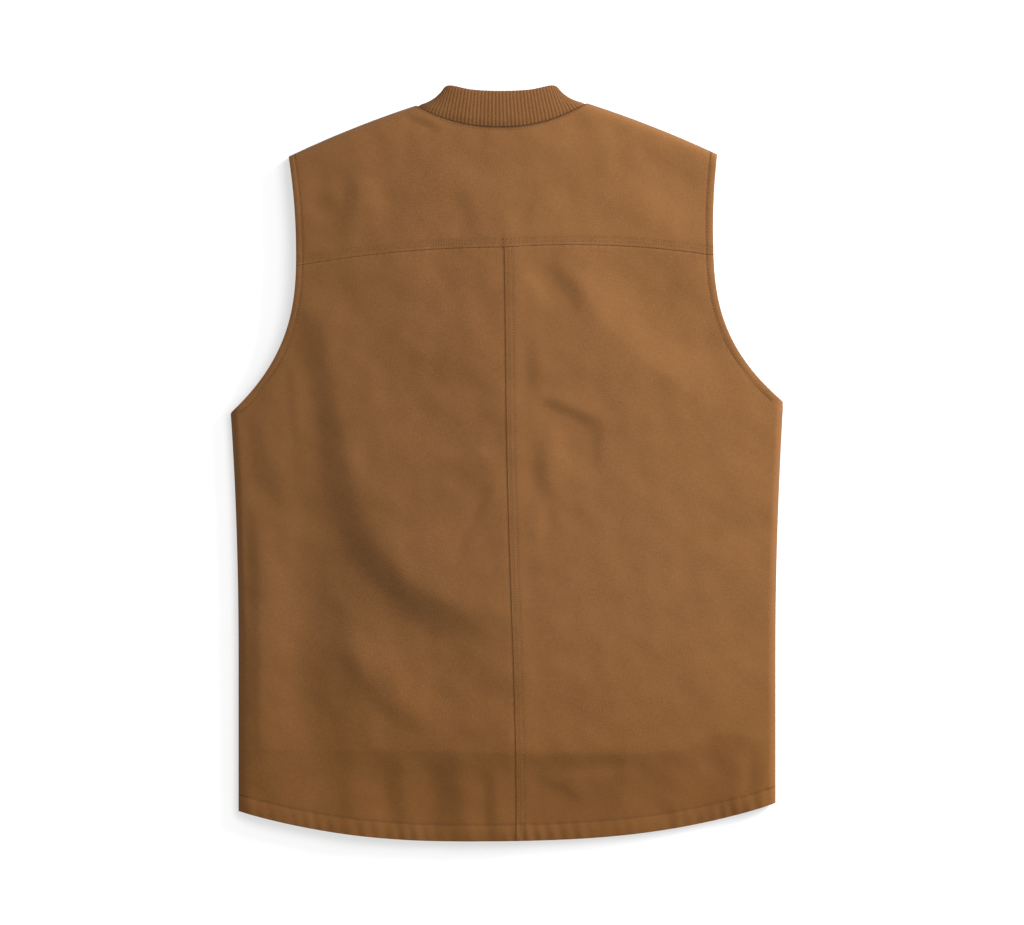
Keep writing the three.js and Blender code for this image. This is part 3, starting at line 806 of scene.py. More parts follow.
def smooth_shading(piece, degrees):
    deselect_all()
    piece.select_set(True)
    bpy.context.view_layer.objects.active = piece
    bpy.ops.object.shade_smooth_by_angle(angle=math.radians(degrees))


def take_shape():
    """Vertices and faces of the active object, which is removed."""
    mesh = bpy.context.object.data
    corners = np.array([vertex.co for vertex in mesh.vertices])
    faces = [tuple(face.vertices) for face in mesh.polygons]
    bpy.data.meshes.remove(mesh)
    return corners, faces


def join_copies(name, points, faces):
    """One piece made of copies of a shape, from the points of each copy and the faces of one."""
    copies, size, _ = points.shape
    all_faces = [tuple(corner + copy * size for corner in face) for copy in range(copies) for face in faces]
    mesh = bpy.data.meshes.new(name)
    mesh.from_pydata((points.reshape(-1, 3) * MM).tolist(), [], all_faces)
    piece = bpy.data.objects.new(name, mesh)
    bpy.context.collection.objects.link(piece)
    return piece


def finish_piece(piece, material, slot, *nodes):
    piece.data.materials.clear()
    piece.data.materials.append(material)
    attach(piece, ROOT)
    if nodes:
        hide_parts(*nodes)


# Panels

Edges = namedtuple("Edges", "left right bottom top")


def stations(first_insets, last_insets, span, step):
    """Mesh lines across a span, as shares of it and offsets: close at both edges, even between them."""
    first, last = first_insets[-1], last_insets[-1]
    count = max(2, math.ceil((span - first - last) / step))
    middle = np.linspace(0, 1, count + 1)[1:-1]
    share = np.concatenate([np.zeros(len(first_insets)), middle, np.ones(len(last_insets))])
    offset = np.concatenate([first_insets, mix(first, -last, middle), -np.array(last_insets[::-1], float)])
    return share, offset


def panel_points(columns, rows, edges):
    """Flat places of a panel's vertices between its four edges, column by column."""
    shares, offsets = (np.asarray(part)[:, None] for part in columns)

    def across(y):
        return mix(edges.left(y), edges.right(y), shares) + offsets

    def settle(edge):
        y = edge(np.zeros(shares.shape))
        for _ in range(SETTLE_PASSES):
            y = edge(across(y))
        return y

    y = mix(settle(edges.bottom), settle(edges.top), rows[0][None, :]) + rows[1][None, :]
    return across(y), y


def turned_edge(hem, edge, x, y):
    """True where the cloth is turned under along the hem or an armhole."""
    at_hem = y - hem(x) < HEM.stitch + TURN_MARGIN
    return at_hem | (armhole_inset(edge, x, y) < ARMHOLE_TURN.stitch + TURN_MARGIN)


def lapped_edge(x, y):
    """True near the seams of the back, where the cloth lies over its neighbour."""
    above = y - yoke_seam(x)
    across = x - centre_seam(y)
    return (np.abs(above) < LAP_FLAT + TUCK) | ((np.abs(across) < LAP_FLAT + TUCK) & (above < 0))


def make_panel(name, columns, rows, edges, surface):
    piece, places = new_grid(name, len(columns[0]), len(rows[0]))
    x, y = (grid[places[:, 0], places[:, 1]] for grid in panel_points(columns, rows, edges))
    place_vertices(piece, leaning(x, y, surface(x, y)))
    lay_uv(piece, x, y)
    return piece, x, y


def wear_and_groove_shade_masks(piece, edge_distance, rows):
    """Masks for the shader: worn along edges, and painted shade in the grooves of the stitched rows."""
    add_mask(piece, "worn", bell(edge_distance, WORN_WIDTH))
    add_mask(piece, "sewn", np.max([row.shade * bell(row.distance, row.width) for row in rows], axis=0))


def panel_masks(piece, x, y, hem, edge):
    """Masks of a panel's hem and armhole, and on the back of its seams and neck."""
    hem_inset = y - hem(x)
    armhole = armhole_inset(edge, x, y)
    edges = [hem_inset, armhole]
    rows = [GrooveShadeRow(hem_inset - HEM.stitch, HEM.shade)]
    rows += [GrooveShadeRow(armhole - ARMHOLE_TURN.stitch, ARMHOLE_TURN.shade)]
    if hem is back_hem:
        above = y - yoke_seam(x)
        below = above < 0
        across = x - centre_seam(y)
        neck_inset = np.where(np.abs(x) < NECK_POINT.x, back_top(x) - y, FAR)
        rows += [GrooveShadeRow(above - row) for row in YOKE_STITCHES]
        rows += [GrooveShadeRow(np.where(below, across - row, FAR)) for row in CENTRE_STITCHES]
        # The line where the collar meets the yoke gets painted shade, standing in for the shade between the
        # two parts.
        rows += [GrooveShadeRow(neck_inset - NECK_STITCH), GrooveShadeRow(neck_inset, COLLAR_SHADE, COLLAR_LINE)]
        edges += [above, np.where(below & (across > 0), across, FAR)]
    wear_and_groove_shade_masks(piece, np.min(np.abs(edges), axis=0), rows)


# Collar

def neck_seam(turn):
    round_share = np.abs(turn)
    side = np.where(turn < 0, -1, 1)
    swing = np.sin(np.pi / 2 * np.minimum(round_share, 2 - round_share))
    back_x = side * NECK_POINT.x * swing
    back_y = back_top(back_x)
    front_x = side * mix(COLLAR_END, NECK_POINT.x, swing)
    front_y = front_top(front_x)
    behind = round_share <= 1
    x = np.where(behind, back_x, front_x)
    y = np.where(behind, back_y, front_y)
    z = np.where(behind, back_height(back_x, back_y), front_height(front_x, front_y))
    return np.stack([x, y, z], axis=-1)


def collar_top(turn):
    return np.stack([smooth_table(COLLAR_EDGE, "turn", column, turn) for column in "xyz"], axis=-1)


def collar_out(turn):
    """Direction in which the collar faces, near enough for its flare."""
    angle = np.pi / 2 * turn
    sideways = np.sin(angle)
    out = (COLLAR_SIDE[0] * sideways, COLLAR_SIDE[1] * np.abs(sideways), np.cos(angle))
    return np.stack(out, axis=-1)


def collar_points(turn, rise):
    """Outer face of the collar, for a row of turns and a column of rises."""
    seam = neck_seam(turn)[:, None, :]
    edge = collar_top(turn)[:, None, :]
    share = rise[None, :, None]
    angle = np.pi / 2 * turn[:, None, None]
    bend = COLLAR_PINCH * np.abs(np.sin(angle)) - COLLAR_BULGE * np.maximum(np.cos(angle), 0)
    waist = bend * 4 * np.clip(share, 0, 1) * (1 - np.clip(share, 0, 1))
    sink = COLLAR_SINK * (1 - ease(share, 0, COLLAR_SINK_END))
    return mix(seam, edge, share) - (waist + sink) * collar_out(turn)[:, None, :]


def collar_section(turns, half, valley_depth):
    """Section of the band at each turn: up its outer face, over the fold, down inside and back round."""
    face = collar_points(turns, COLLAR_RISE)
    upward = unit(np.gradient(face, axis=1))
    normal = unit(np.cross(np.gradient(face, axis=0), upward))
    middle = face - half * normal
    reach = half - valley_depth[:, None, None]
    roll = np.linspace(0, np.pi, RIB_ROLL_STEPS + 1)[1:-1, None]
    top, top_out, top_up = (part[:, -1:, :] for part in (middle, normal, upward))
    crest = top + reach * (np.cos(roll) * top_out + np.sin(roll) * top_up)
    outer = middle + reach * normal
    inner = (middle - reach * normal)[:, ::-1, :]
    return np.concatenate([outer, crest, inner, outer[:, :1, :]], axis=1)


def equal_turns(count):
    """Turns that divide the neck seam into equal lengths, and the seam's length."""
    turns = np.linspace(-2, 2, SEAM_SAMPLES + 1)
    lengths = path_lengths(neck_seam(turns))
    wanted = np.linspace(0, lengths[-1], count + 1)
    return np.interp(wanted, lengths, turns), lengths[-1]


# Stitches

def march(path, pitch):
    """Middles and directions of equal stitches along a path of points."""
    lengths = path_lengths(path)
    count = max(1, int(lengths[-1] / pitch))
    middles = (np.arange(count) + 0.5) * lengths[-1] / count

    def at(distance):
        return np.stack([np.interp(distance, lengths, path[:, axis]) for axis in range(2)], axis=1)

    return at(middles), at(middles + 0.5) - at(middles - 0.5)


def stitch_bead(sizes):
    """One stitch along X on a level surface, a bead whose ends dip: its points and its faces."""
    deselect_all()
    bpy.ops.mesh.primitive_uv_sphere_add(segments=BEAD_SEGMENTS, ring_count=BEAD_RINGS, radius=1)
    ball, faces = take_shape()
    corners = ball[:, (2, 0, 1)]
    half = np.array([sizes.stitch_length, sizes.thread_width, sizes.thread_height]) / MM / 2
    bead = corners * half
    bead[:, 2] += STITCH_SEAT * half[2] - STITCH_DIP * corners[:, 0] ** 2
    return bead, faces


def make_stitches(name, paths, surface, facing, sizes):
    """Joined beads along paths that lie on a surface."""
    bead, faces = stitch_bead(sizes)
    rows = []
    for path in paths:
        middles, runs = march(path, sizes.stitch_pitch / MM)
        x, y = middles.T
        slope_x = slope(lambda value: surface(value, y), x)
        slope_y = slope(lambda value: surface(x, value), y)
        normal = facing * unit(np.stack([-slope_x, -slope_y, np.ones(len(x))], axis=1))
        climb = slope_x * runs[:, 0] + slope_y * runs[:, 1]
        along = unit(np.concatenate([runs, climb[:, None]], axis=1))
        axes = np.stack([along, np.cross(normal, along), normal], axis=1)
        rows.append(leaning(x, y, surface(x, y))[:, None, :] + bead @ axes)
    piece = join_copies(name, np.concatenate(rows), faces)
    smooth_shading(piece, THREAD_ANGLE)
    return piece


def samples(low, high):
    return np.linspace(low, high, PATH_SAMPLES)


def path_through(x, y):
    return np.stack(np.broadcast_arrays(x, y), axis=1)


def yoke_row(inset):
    x = samples(YOKE_ROW_END - ARMHOLE.half, ARMHOLE.half - YOKE_ROW_END)
    return path_through(x, yoke_seam(x) + inset)


def centre_row(inset):
    y = samples(BOTTOM + CENTRE_ROW_ENDS[0], YOKE_SEAM_Y - CENTRE_ROW_ENDS[1])
    return path_through(centre_seam(y) + inset, y)


def armhole_row(side, edge):
    y = samples(side.underarm + ARMHOLE_ROW_ENDS[0], SHOULDER_TIP.y - ARMHOLE_ROW_ENDS[1])
    inset = ARMHOLE_TURN.stitch * armhole_stretch(edge, side, y)
    return path_through(side.sign * (edge(side, y) - inset), y)


def hem_row(hem, low, high):
    x = samples(low, high)
    return path_through(x, hem(x) + HEM.stitch)


def neck_row():
    x = samples(NECK_ROW_END - NECK_POINT.x, NECK_POINT.x - NECK_ROW_END)
    return path_through(x, back_top(x) - NECK_STITCH)


def zip_row(side):
    y = samples(FRONT_HEM_MIDDLE + ZIP_ROW_ENDS[0], ZIP_TOP - ZIP_ROW_ENDS[1])
    return path_through(side.sign * ZIP_ROW_X, y)


# Materials

VECTOR = "NodeSocketVector"
COLOUR = "NodeSocketColor"
VALUE = "NodeSocketFloat"
SHARED = {}


def shared(make, *settings):
    """What a maker function builds, made on first use and kept for the next."""
    if make.__name__ not in SHARED:
        SHARED[make.__name__] = make(*settings)
    return SHARED[make.__name__]


def new_group(name, inputs, outputs):
    """Shader node group, with the sockets that it is given and those of its result."""
    group = bpy.data.node_groups.new(name, "ShaderNodeTree")
    for direction, sockets in (("INPUT", inputs), ("OUTPUT", outputs)):
        for label, kind in sockets.items():
            group.interface.new_socket(label, in_out=direction, socket_type=kind)
    return group, group.nodes.new("NodeGroupInput").outputs, group.nodes.new("NodeGroupOutput").inputs


def add_node(tree, kind, values=None, **settings):
    """New node with settings, and values for its input sockets: a number, a colour or a socket to link."""
    node = tree.nodes.new(kind)
    for key, setting in settings.items():
        setattr(node, key, setting)
    for label, value in (values or {}).items():
        socket = node.inputs[label]
        if isinstance(value, bpy.types.NodeSocket):
            tree.links.new(value, socket)
        else:
            socket.default_value = value
    return node


def add_group(tree, make, values):
    return add_node(tree, "ShaderNodeGroup", values, node_tree=shared(make)).outputs


def maths(tree, operation, first, second=0.0):
    return add_node(tree, "ShaderNodeMath", {0: first, 1: second}, operation=operation).outputs[0]


def mapped(tree, value, low, high):
    values = {"Value": value, "To Min": low, "To Max": high}
    return add_node(tree, "ShaderNodeMapRange", values).outputs[0]


def blend_colour(tree, share, first, second):
    values = {0: share, 6: first, 7: second}
    return add_node(tree, "ShaderNodeMix", values, data_type="RGBA").outputs[2]


def tinted(tree, colour, value, saturation=1.0):
    values = {"Color": colour, "Value": value, "Saturation": saturation}
    return add_node(tree, "ShaderNodeHueSaturation", values).outputs[0]


def noise(tree, vector, kind, stretch=(1, 1, 1)):
    """Noise between 0 and 1, before it is spread."""
    place = add_node(tree, "ShaderNodeMapping", {"Vector": vector, "Scale": stretch})
    values = {"Vector": place.outputs[0], "Scale": kind.scale, "Detail": kind.detail}
    return add_node(tree, "ShaderNodeTexNoise", values).outputs[0]


def spread_noise(tree, vector, kind):
    return mapped(tree, noise(tree, vector, kind), kind.low, kind.high)


def weighted(tree, *parts):
    """Sum of values, each with its weight."""
    total = 0.0
    for value, weight in parts:
        total = maths(tree, "ADD", maths(tree, "MULTIPLY", value, weight), total)
    return total


def yarn_grain_group():
    """Plain weave with uneven yarns: a grain for colour and a height for bump."""
    inputs = {"Vector": VECTOR, "Yarns per metre": VALUE}
    tree, given, result = new_group("Yarn grain", inputs, {"Grain": VALUE, "Height": VALUE})
    vector = given["Vector"]
    weft = noise(tree, vector, YARN_NOISE, (1.0, YARN_STRETCH, 1.0))
    warp = noise(tree, vector, YARN_NOISE, (YARN_STRETCH, 1.0, 1.0))
    fleck = noise(tree, vector, FLECK_NOISE)
    grain = weighted(tree, (weft, WEFT_SHARE), (warp, WARP_SHARE), (fleck, FLECK_SHARE))
    parts = add_node(tree, "ShaderNodeSeparateXYZ", {0: vector}).outputs
    rate = maths(tree, "MULTIPLY", given["Yarns per metre"], math.pi)
    ends, picks = (maths(tree, "SINE", maths(tree, "MULTIPLY", part, rate)) for part in parts[:2])
    weave = maths(tree, "MULTIPLY", ends, picks)
    tree.links.new(grain, result["Grain"])
    tree.links.new(weighted(tree, (weave, WEAVE_SHARE), (grain, 1.0)), result["Height"])
    return tree


def wash_and_hem_shade_group():
    """Uneven fading from washing and wear, with painted shade that makes the colour richer and a little
    darker towards the hem.
    """
    inputs = {"Vector": VECTOR, "Dyed": COLOUR, "Faded": COLOUR, "Grain": VALUE, "Worn": VALUE}
    tree, given, result = new_group("Wash and wear", inputs, {"Color": COLOUR})
    vector = given["Vector"]
    patches = spread_noise(tree, vector, PATCH_NOISE)
    rubbed = maths(tree, "MULTIPLY", given["Worn"], spread_noise(tree, vector, SCUFF_NOISE))
    share = weighted(tree, (patches, 1.0), (rubbed, RUBBED_SHARE))
    colour = blend_colour(tree, share, given["Dyed"], given["Faded"])
    # Painted shade: the colour is made richer and a little darker towards the hem, standing in for the look
    # of shaded cloth there.
    level = add_node(tree, "ShaderNodeSeparateXYZ", {0: vector}).outputs[1]
    hem_shade_levels = {"From Min": HEM_SHADE_FULL_LEVEL, "From Max": HEM_SHADE_END_LEVEL, "To Min": HEM_SHADE_SATURATION, "To Max": 1.0}
    saturation = add_node(tree, "ShaderNodeMapRange", {"Value": level, **hem_shade_levels}).outputs[0]
    value = mapped(tree, given["Grain"], *GRAIN_VALUES)
    tree.links.new(tinted(tree, colour, value, saturation), result["Color"])
    return tree


def hollow_group():
    """Paints shade onto what lies in a groove."""
    inputs = {"Color": COLOUR, "Hollow": VALUE, "Depth": VALUE}
    tree, given, result = new_group("Hollow shade", inputs, {"Color": COLOUR})
    amount = maths(tree, "MULTIPLY", given["Hollow"], given["Depth"])
    tree.links.new(tinted(tree, given["Color"], maths(tree, "SUBTRACT", 1.0, amount)), result["Color"])
    return tree


def new_material(name, constants):
    """Material with its Principled shader, whose plain values are set on the shader's own sockets."""
    material = bpy.data.materials.new(name)
    material.use_nodes = True
    shader = material.node_tree.nodes["Principled BSDF"]
    for label, value in constants.items():
        shader.inputs[label].default_value = value
    return material, material.node_tree, shader.inputs


def opaque(colour):
    return (*colour, 1.0)


def mask_value(tree, name):
    return add_node(tree, "ShaderNodeAttribute", attribute_name=name).outputs["Fac"]


def bump(tree, height, strength, distance):
    values = {"Height": height, "Strength": strength, "Distance": distance}
    return add_node(tree, "ShaderNodeBump", values).outputs[0]


def cloth_material(name, dyed, faded, look):
    """Cloth of uneven yarns, washed and worn, with painted shade in its hollows and towards the hem."""
    material, tree, shader = new_material(name, CLOTH_SHADER)
    vector = add_node(tree, "ShaderNodeUVMap", uv_map="UVMap").outputs[0]
    yarn = add_group(tree, yarn_grain_group, {"Vector": vector, "Yarns per metre": look.yarns})
    wash_and_shade = add_group(tree, wash_and_hem_shade_group, {
        "Vector": vector,
        "Dyed": opaque(dyed),
        "Faded": opaque(faded),
        "Grain": yarn["Grain"],
        "Worn": mask_value(tree, "worn"),
    })
    # Painted shade: the groove-shade mask darkens the colour in stitch grooves, rib valleys and along the
    # collar's seam.
    hollows = {"Color": wash_and_shade["Color"], "Hollow": mask_value(tree, "sewn"), "Depth": look.hollow}
    tree.links.new(add_group(tree, hollow_group, hollows)["Color"], shader["Base Color"])
    tree.links.new(mapped(tree, yarn["Grain"], *look.roughness), shader["Roughness"])
    tree.links.new(bump(tree, yarn["Height"], look.bump, look.bump_height), shader["Normal"])
    return material


def canvas_material(colours):
    return cloth_material("vest_canvas", colours.canvas, colours.canvas_faded, CANVAS_LOOK)


def knit_material(colours):
    return cloth_material("vest_rib_knit", colours.knit, colours.canvas_faded, KNIT_LOOK)


def thread_material(colours):
    material, tree, shader = new_material("vest_thread", {"Specular IOR Level": CLOTH_GLOSS})
    vector = add_node(tree, "ShaderNodeTexCoord").outputs["Object"]
    wisp = noise(tree, vector, THREAD_NOISE)
    value = mapped(tree, wisp, THREAD_NOISE.low, THREAD_NOISE.high)
    tree.links.new(tinted(tree, opaque(colours.thread), value), shader["Base Color"])
    tree.links.new(mapped(tree, wisp, *THREAD_ROUGHNESS), shader["Roughness"])
    tree.links.new(bump(tree, wisp, THREAD_BUMP, FINE_BUMP), shader["Normal"])
    return material


def metal_material(colours):
    material, tree, shader = new_material("vest_zip_metal", {"Metallic": 1.0})
    vector = add_node(tree, "ShaderNodeTexCoord").outputs["Object"]
    tarnish = noise(tree, vector, TARNISH_NOISE)
    colour = blend_colour(tree, tarnish, opaque(colours.zip_metal), opaque(colours.zip_tarnish))
    tree.links.new(colour, shader["Base Color"])
    tree.links.new(mapped(tree, tarnish, *METAL_ROUGHNESS), shader["Roughness"])
    tree.links.new(bump(tree, tarnish, METAL_BUMP, FINE_BUMP), shader["Normal"])
    return material


def floor_material(stage):
    constants = {
        "Base Color": opaque(stage.floor_colour),
        "Roughness": 0.9,
        "Specular IOR Level": 0.0,
        "Emission Color": opaque(stage.floor_colour),
        "Emission Strength": stage.floor_glow,
    }
    material, _, _ = new_material("studio_floor", constants)
    return material


# Settings that a user would change

class VestSizes(bpy.types.PropertyGroup):
    canvas: bpy.props.FloatProperty(
        name="Canvas", description="Thickness of the canvas",
        default=0.0016, unit="LENGTH", precision=4)
    knit: bpy.props.FloatProperty(
        name="Rib knit", description="Thickness of the folded collar",
        default=0.003, unit="LENGTH", precision=4)
    back_step: bpy.props.FloatProperty(
        name="Back mesh", description="Mesh spacing on the back",
        default=0.0024, unit="LENGTH", precision=4)
    front_step: bpy.props.FloatProperty(
        name="Front mesh", description="Mesh spacing on the front",
        default=0.0044, unit="LENGTH", precision=4)
    stitch_pitch: bpy.props.FloatProperty(
        name="Stitch pitch", description="From stitch to stitch",
        default=0.0027, unit="LENGTH", precision=4)
    stitch_length: bpy.props.FloatProperty(
        name="Stitch length", description="Thread seen per stitch",
        default=0.0019, unit="LENGTH", precision=4)
    thread_width: bpy.props.FloatProperty(
        name="Thread width", description="Width of the thread",
        default=0.0008, unit="LENGTH", precision=4)
    thread_height: bpy.props.FloatProperty(
        name="Thread height", description="Height of the thread",
        default=0.0006, unit="LENGTH", precision=4)


class VestColours(bpy.types.PropertyGroup):
    canvas: bpy.props.FloatVectorProperty(
        name="Canvas", description="Dyed canvas", subtype="COLOR",
        default=(0.132, 0.0570, 0.0178), min=0, max=1)
    canvas_faded: bpy.props.FloatVectorProperty(
        name="Faded", description="Canvas where it has faded", subtype="COLOR",
        default=(0.154, 0.0680, 0.0232), min=0, max=1)
    knit: bpy.props.FloatVectorProperty(
        name="Rib knit", description="Knitted collar", subtype="COLOR",
        default=(0.117, 0.0500, 0.0155), min=0, max=1)
    thread: bpy.props.FloatVectorProperty(
        name="Thread", description="Sewing thread", subtype="COLOR",
        default=(0.19, 0.088, 0.034), min=0, max=1)
    zip_metal: bpy.props.FloatVectorProperty(
        name="Zip metal", description="Brass of the zip", subtype="COLOR",
        default=(0.42, 0.27, 0.10), min=0, max=1)
    zip_tarnish: bpy.props.FloatVectorProperty(
        name="Zip tarnish", description="Dulled brass", subtype="COLOR",
        default=(0.18, 0.11, 0.05), min=0, max=1)


class VestStage(bpy.types.PropertyGroup):
    floor_colour: bpy.props.FloatVectorProperty(
        name="Floor", description="Colour of the floor", subtype="COLOR",
        default=(0.434, 0.434, 0.434), min=0, max=1)
    floor_glow: bpy.props.FloatProperty(
        name="Floor glow", description="Light that the floor gives off", default=1.27, min=0)
    key_power: bpy.props.FloatProperty(
        name="Key light", description="Power of the low key light", default=178.0, unit="POWER", min=0)
    top_power: bpy.props.FloatProperty(
        name="Top light", description="Power of the high light", default=69.0, unit="POWER", min=0)
    fill_strength: bpy.props.FloatProperty(
        name="Fill light", description="Brightness of the surroundings", default=0.555, min=0)
    camera_height: bpy.props.FloatProperty(
        name="Camera height", description="Camera above the floor", default=7.0, unit="LENGTH", min=1)


# Operators, one for each piece or group of like pieces

class VEST_OT_back(bpy.types.Operator):
    """Make the yoke and the two back panels."""
    bl_idname = "vest.back"
    bl_label = "Back panels"

    def execute(self, context):
        sizes = context.scene.vest_sizes
        canvas = shared(canvas_material, context.scene.vest_colours)
        step = sizes.back_step / MM
        panel_rows = stations(HEM_INSETS, TUCK_INSETS, YOKE_SEAM_Y - BOTTOM, step)
        yoke_rows = stations(SEAM_INSETS, SHOULDER_INSETS, YOKE_SPAN, step)
        left_columns = stations(EDGE_INSETS, TUCK_INSETS, CHEST_HALF, step)
        right_columns = stations(SEAM_INSETS, EDGE_INSETS, CHEST_HALF, step)
        yoke_columns = stations(EDGE_INSETS, EDGE_INSETS, 2 * ARMHOLE.half, step)
        panels = (
            ("back_panel_left", left_surface, left_columns, panel_rows,
             Edges(lambda y: -back_edge(LEFT, y), centre_seam, back_hem, yoke_seam)),
            ("back_panel_right", right_surface, right_columns, panel_rows,
             Edges(centre_seam, lambda y: back_edge(RIGHT, y), back_hem, yoke_seam)),
            ("back_yoke", yoke_surface, yoke_columns, yoke_rows,
             Edges(lambda y: -armhole_half(LEFT, y), lambda y: armhole_half(RIGHT, y), yoke_seam, back_top)),
        )
        for name, surface, columns, rows, edges in panels:
            piece, x, y = make_panel(f"{name}_cloth", columns, rows, edges, surface)
            panel_masks(piece, x, y, back_hem, back_edge)
            thicken(piece, sizes.canvas, turned_edge(back_hem, back_edge, x, y), lapped_edge(x, y))
            smooth_shading(piece, CLOTH_ANGLE)
            finish_piece(piece, canvas, "canvas", name)
        return {"FINISHED"}


class VEST_OT_front(bpy.types.Operator):
    """Make the two front panels, which lie on the floor."""
    bl_idname = "vest.front"
    bl_label = "Front panels"

    def execute(self, context):
        sizes = context.scene.vest_sizes
        canvas = shared(canvas_material, context.scene.vest_colours)
        step = sizes.front_step / MM
        rows = stations(HEM_INSETS, SHOULDER_INSETS, NECK_POINT.y - FRONT_HEM_MIDDLE, step)
        panels = (
            ("front_panel_left", stations(EDGE_INSETS, ZIP_INSETS, CHEST_HALF, step),
             Edges(lambda y: -front_edge(LEFT, y), lambda y: -zip_edge(y), front_hem, front_top)),
            ("front_panel_right", stations(ZIP_INSETS, EDGE_INSETS, CHEST_HALF, step),
             Edges(zip_edge, lambda y: front_edge(RIGHT, y), front_hem, front_top)),
        )
        for name, columns, edges in panels:
            piece, x, y = make_panel(f"{name}_cloth", columns, rows, edges, front_surface)
            panel_masks(piece, x, y, front_hem, front_edge)
            edit_all()
            bpy.ops.mesh.flip_normals()
            end_edit()
            nowhere = np.zeros(x.shape, bool)
            thicken(piece, sizes.canvas, turned_edge(front_hem, front_edge, x, y), nowhere)
            smooth_shading(piece, CLOTH_ANGLE)
            finish_piece(piece, canvas, "canvas", name)
        return {"FINISHED"}


class VEST_OT_collar(bpy.types.Operator):
    """Make the rib-knit collar, a band folded over at its top edge."""
    bl_idname = "vest.collar"
    bl_label = "Rib collar"

    def execute(self, context):
        sizes = context.scene.vest_sizes
        turns, seam_length = equal_turns(RIBS * RIB_COLUMNS)
        depth = float(np.linalg.norm(collar_top(turns) - neck_seam(turns), axis=1).mean())
        valley = 1 - np.abs(np.sin(np.pi * np.arange(len(turns)) / RIB_COLUMNS)) ** RIB_POWER
        section = collar_section(turns, sizes.knit / MM / 2, RIB_DEPTH * valley)
        steps = section.shape[1]
        piece, places = new_grid("rib_collar_knit", len(turns), steps)
        column, row = places.T
        x, y, z = section[column, row].T
        place_vertices(piece, leaning(x, y, np.maximum(z, FLOOR_CLEARANCE)))
        run = np.linspace(0, seam_length, len(turns))
        fall = np.arange(steps) / steps * 2 * depth
        lay_uv(piece, run[column], fall[row])
        # Painted shade: the rib valleys and a line just above the seam where the collar meets the yoke are
        # darkened in colour.
        seam_shade_line = np.zeros(steps)
        seam_shade_line[:len(COLLAR_RISE)] = COLLAR_SHADE * bell(COLLAR_RISE * depth, COLLAR_LINE)
        add_mask(piece, "sewn", np.maximum(valley[column], seam_shade_line[row]))
        add_mask(piece, "worn", bell(row - RIB_ROWS - RIB_ROLL_STEPS / 2, RIB_ROLL_STEPS / 2))
        edit_all()
        bpy.ops.mesh.remove_doubles(threshold=MERGE_DISTANCE)
        bpy.ops.mesh.select_all(action="DESELECT")
        bpy.ops.mesh.select_mode(type="EDGE")
        bpy.ops.mesh.select_non_manifold()
        bpy.ops.mesh.fill_holes(sides=0)
        end_edit()
        smooth_shading(piece, KNIT_ANGLE)
        finish_piece(piece, shared(knit_material, context.scene.vest_colours), "rib_knit", "rib_collar")
        return {"FINISHED"}


class VEST_OT_zip(bpy.types.Operator):
    """Make the closed zip at centre front: its tape, its teeth and its slider."""
    bl_idname = "vest.zip"
    bl_label = "Front zip"

    def execute(self, context):
        colours = context.scene.vest_colours
        metal = shared(metal_material, colours)
        finish_piece(self.make_tape(), shared(canvas_material, colours), "zip", "front_zip")
        finish_piece(self.make_teeth(FRONT_HEM_MIDDLE + ZIP_END, ZIP_TOP - ZIP_END), metal, "zip")
        finish_piece(self.make_slider(ZIP_TOP - ZIP_END), metal, "zip")
        return {"FINISHED"}

    def make_tape(self):
        piece, places = new_grid("zip_tape", ZIP_TAPE_COLUMNS, ZIP_TAPE_ROWS)
        x = np.linspace(-ZIP_HALF, ZIP_HALF, ZIP_TAPE_COLUMNS)[places[:, 0]]
        y = np.linspace(FRONT_HEM_MIDDLE, ZIP_TOP, ZIP_TAPE_ROWS)[places[:, 1]]
        place_vertices(piece, leaning(x, y, ZIP_TAPE_TOP))
        lay_uv(piece, x, y)
        wear_and_groove_shade_masks(piece, ZIP_HALF - np.abs(x), [GrooveShadeRow(x, shade=0)])
        nowhere = np.zeros(x.shape, bool)
        thicken(piece, ZIP_TAPE * MM, nowhere, nowhere)
        smooth_shading(piece, CLOTH_ANGLE)
        return piece

    def make_teeth(self, low, high):
        deselect_all()
        bpy.ops.mesh.primitive_cube_add(size=1)
        edit_all()
        bpy.ops.mesh.bevel(offset=ZIP_TOOTH_BEVEL, segments=1)
        end_edit()
        tooth, faces = take_shape()
        order = np.arange(int((high - low) / ZIP_PITCH))
        y = low + (order + 0.5) * ZIP_PITCH
        x = np.where(order % 2, ZIP_STAGGER, -ZIP_STAGGER)
        piece = join_copies("zip_teeth", leaning(x, y, ZIP_TOOTH_Z)[:, None, :] + tooth * ZIP_TOOTH, faces)
        smooth_shading(piece, TOOTH_ANGLE)
        return piece

    def make_slider(self, y):
        deselect_all()
        bpy.ops.mesh.primitive_cube_add(size=1)
        piece = named(bpy.context.object, "zip_slider")
        edit_all()
        bpy.ops.transform.resize(value=tuple(size * MM for size in ZIP_SLIDER))
        bpy.ops.mesh.bevel(offset=ZIP_SLIDER_BEVEL * MM, segments=ZIP_SLIDER_STEPS)
        bpy.ops.transform.translate(value=(float(lean_shift(y)) * MM, y * MM, ZIP_TOOTH_Z * MM))
        end_edit()
        smooth_shading(piece, SLIDER_ANGLE)
        return piece


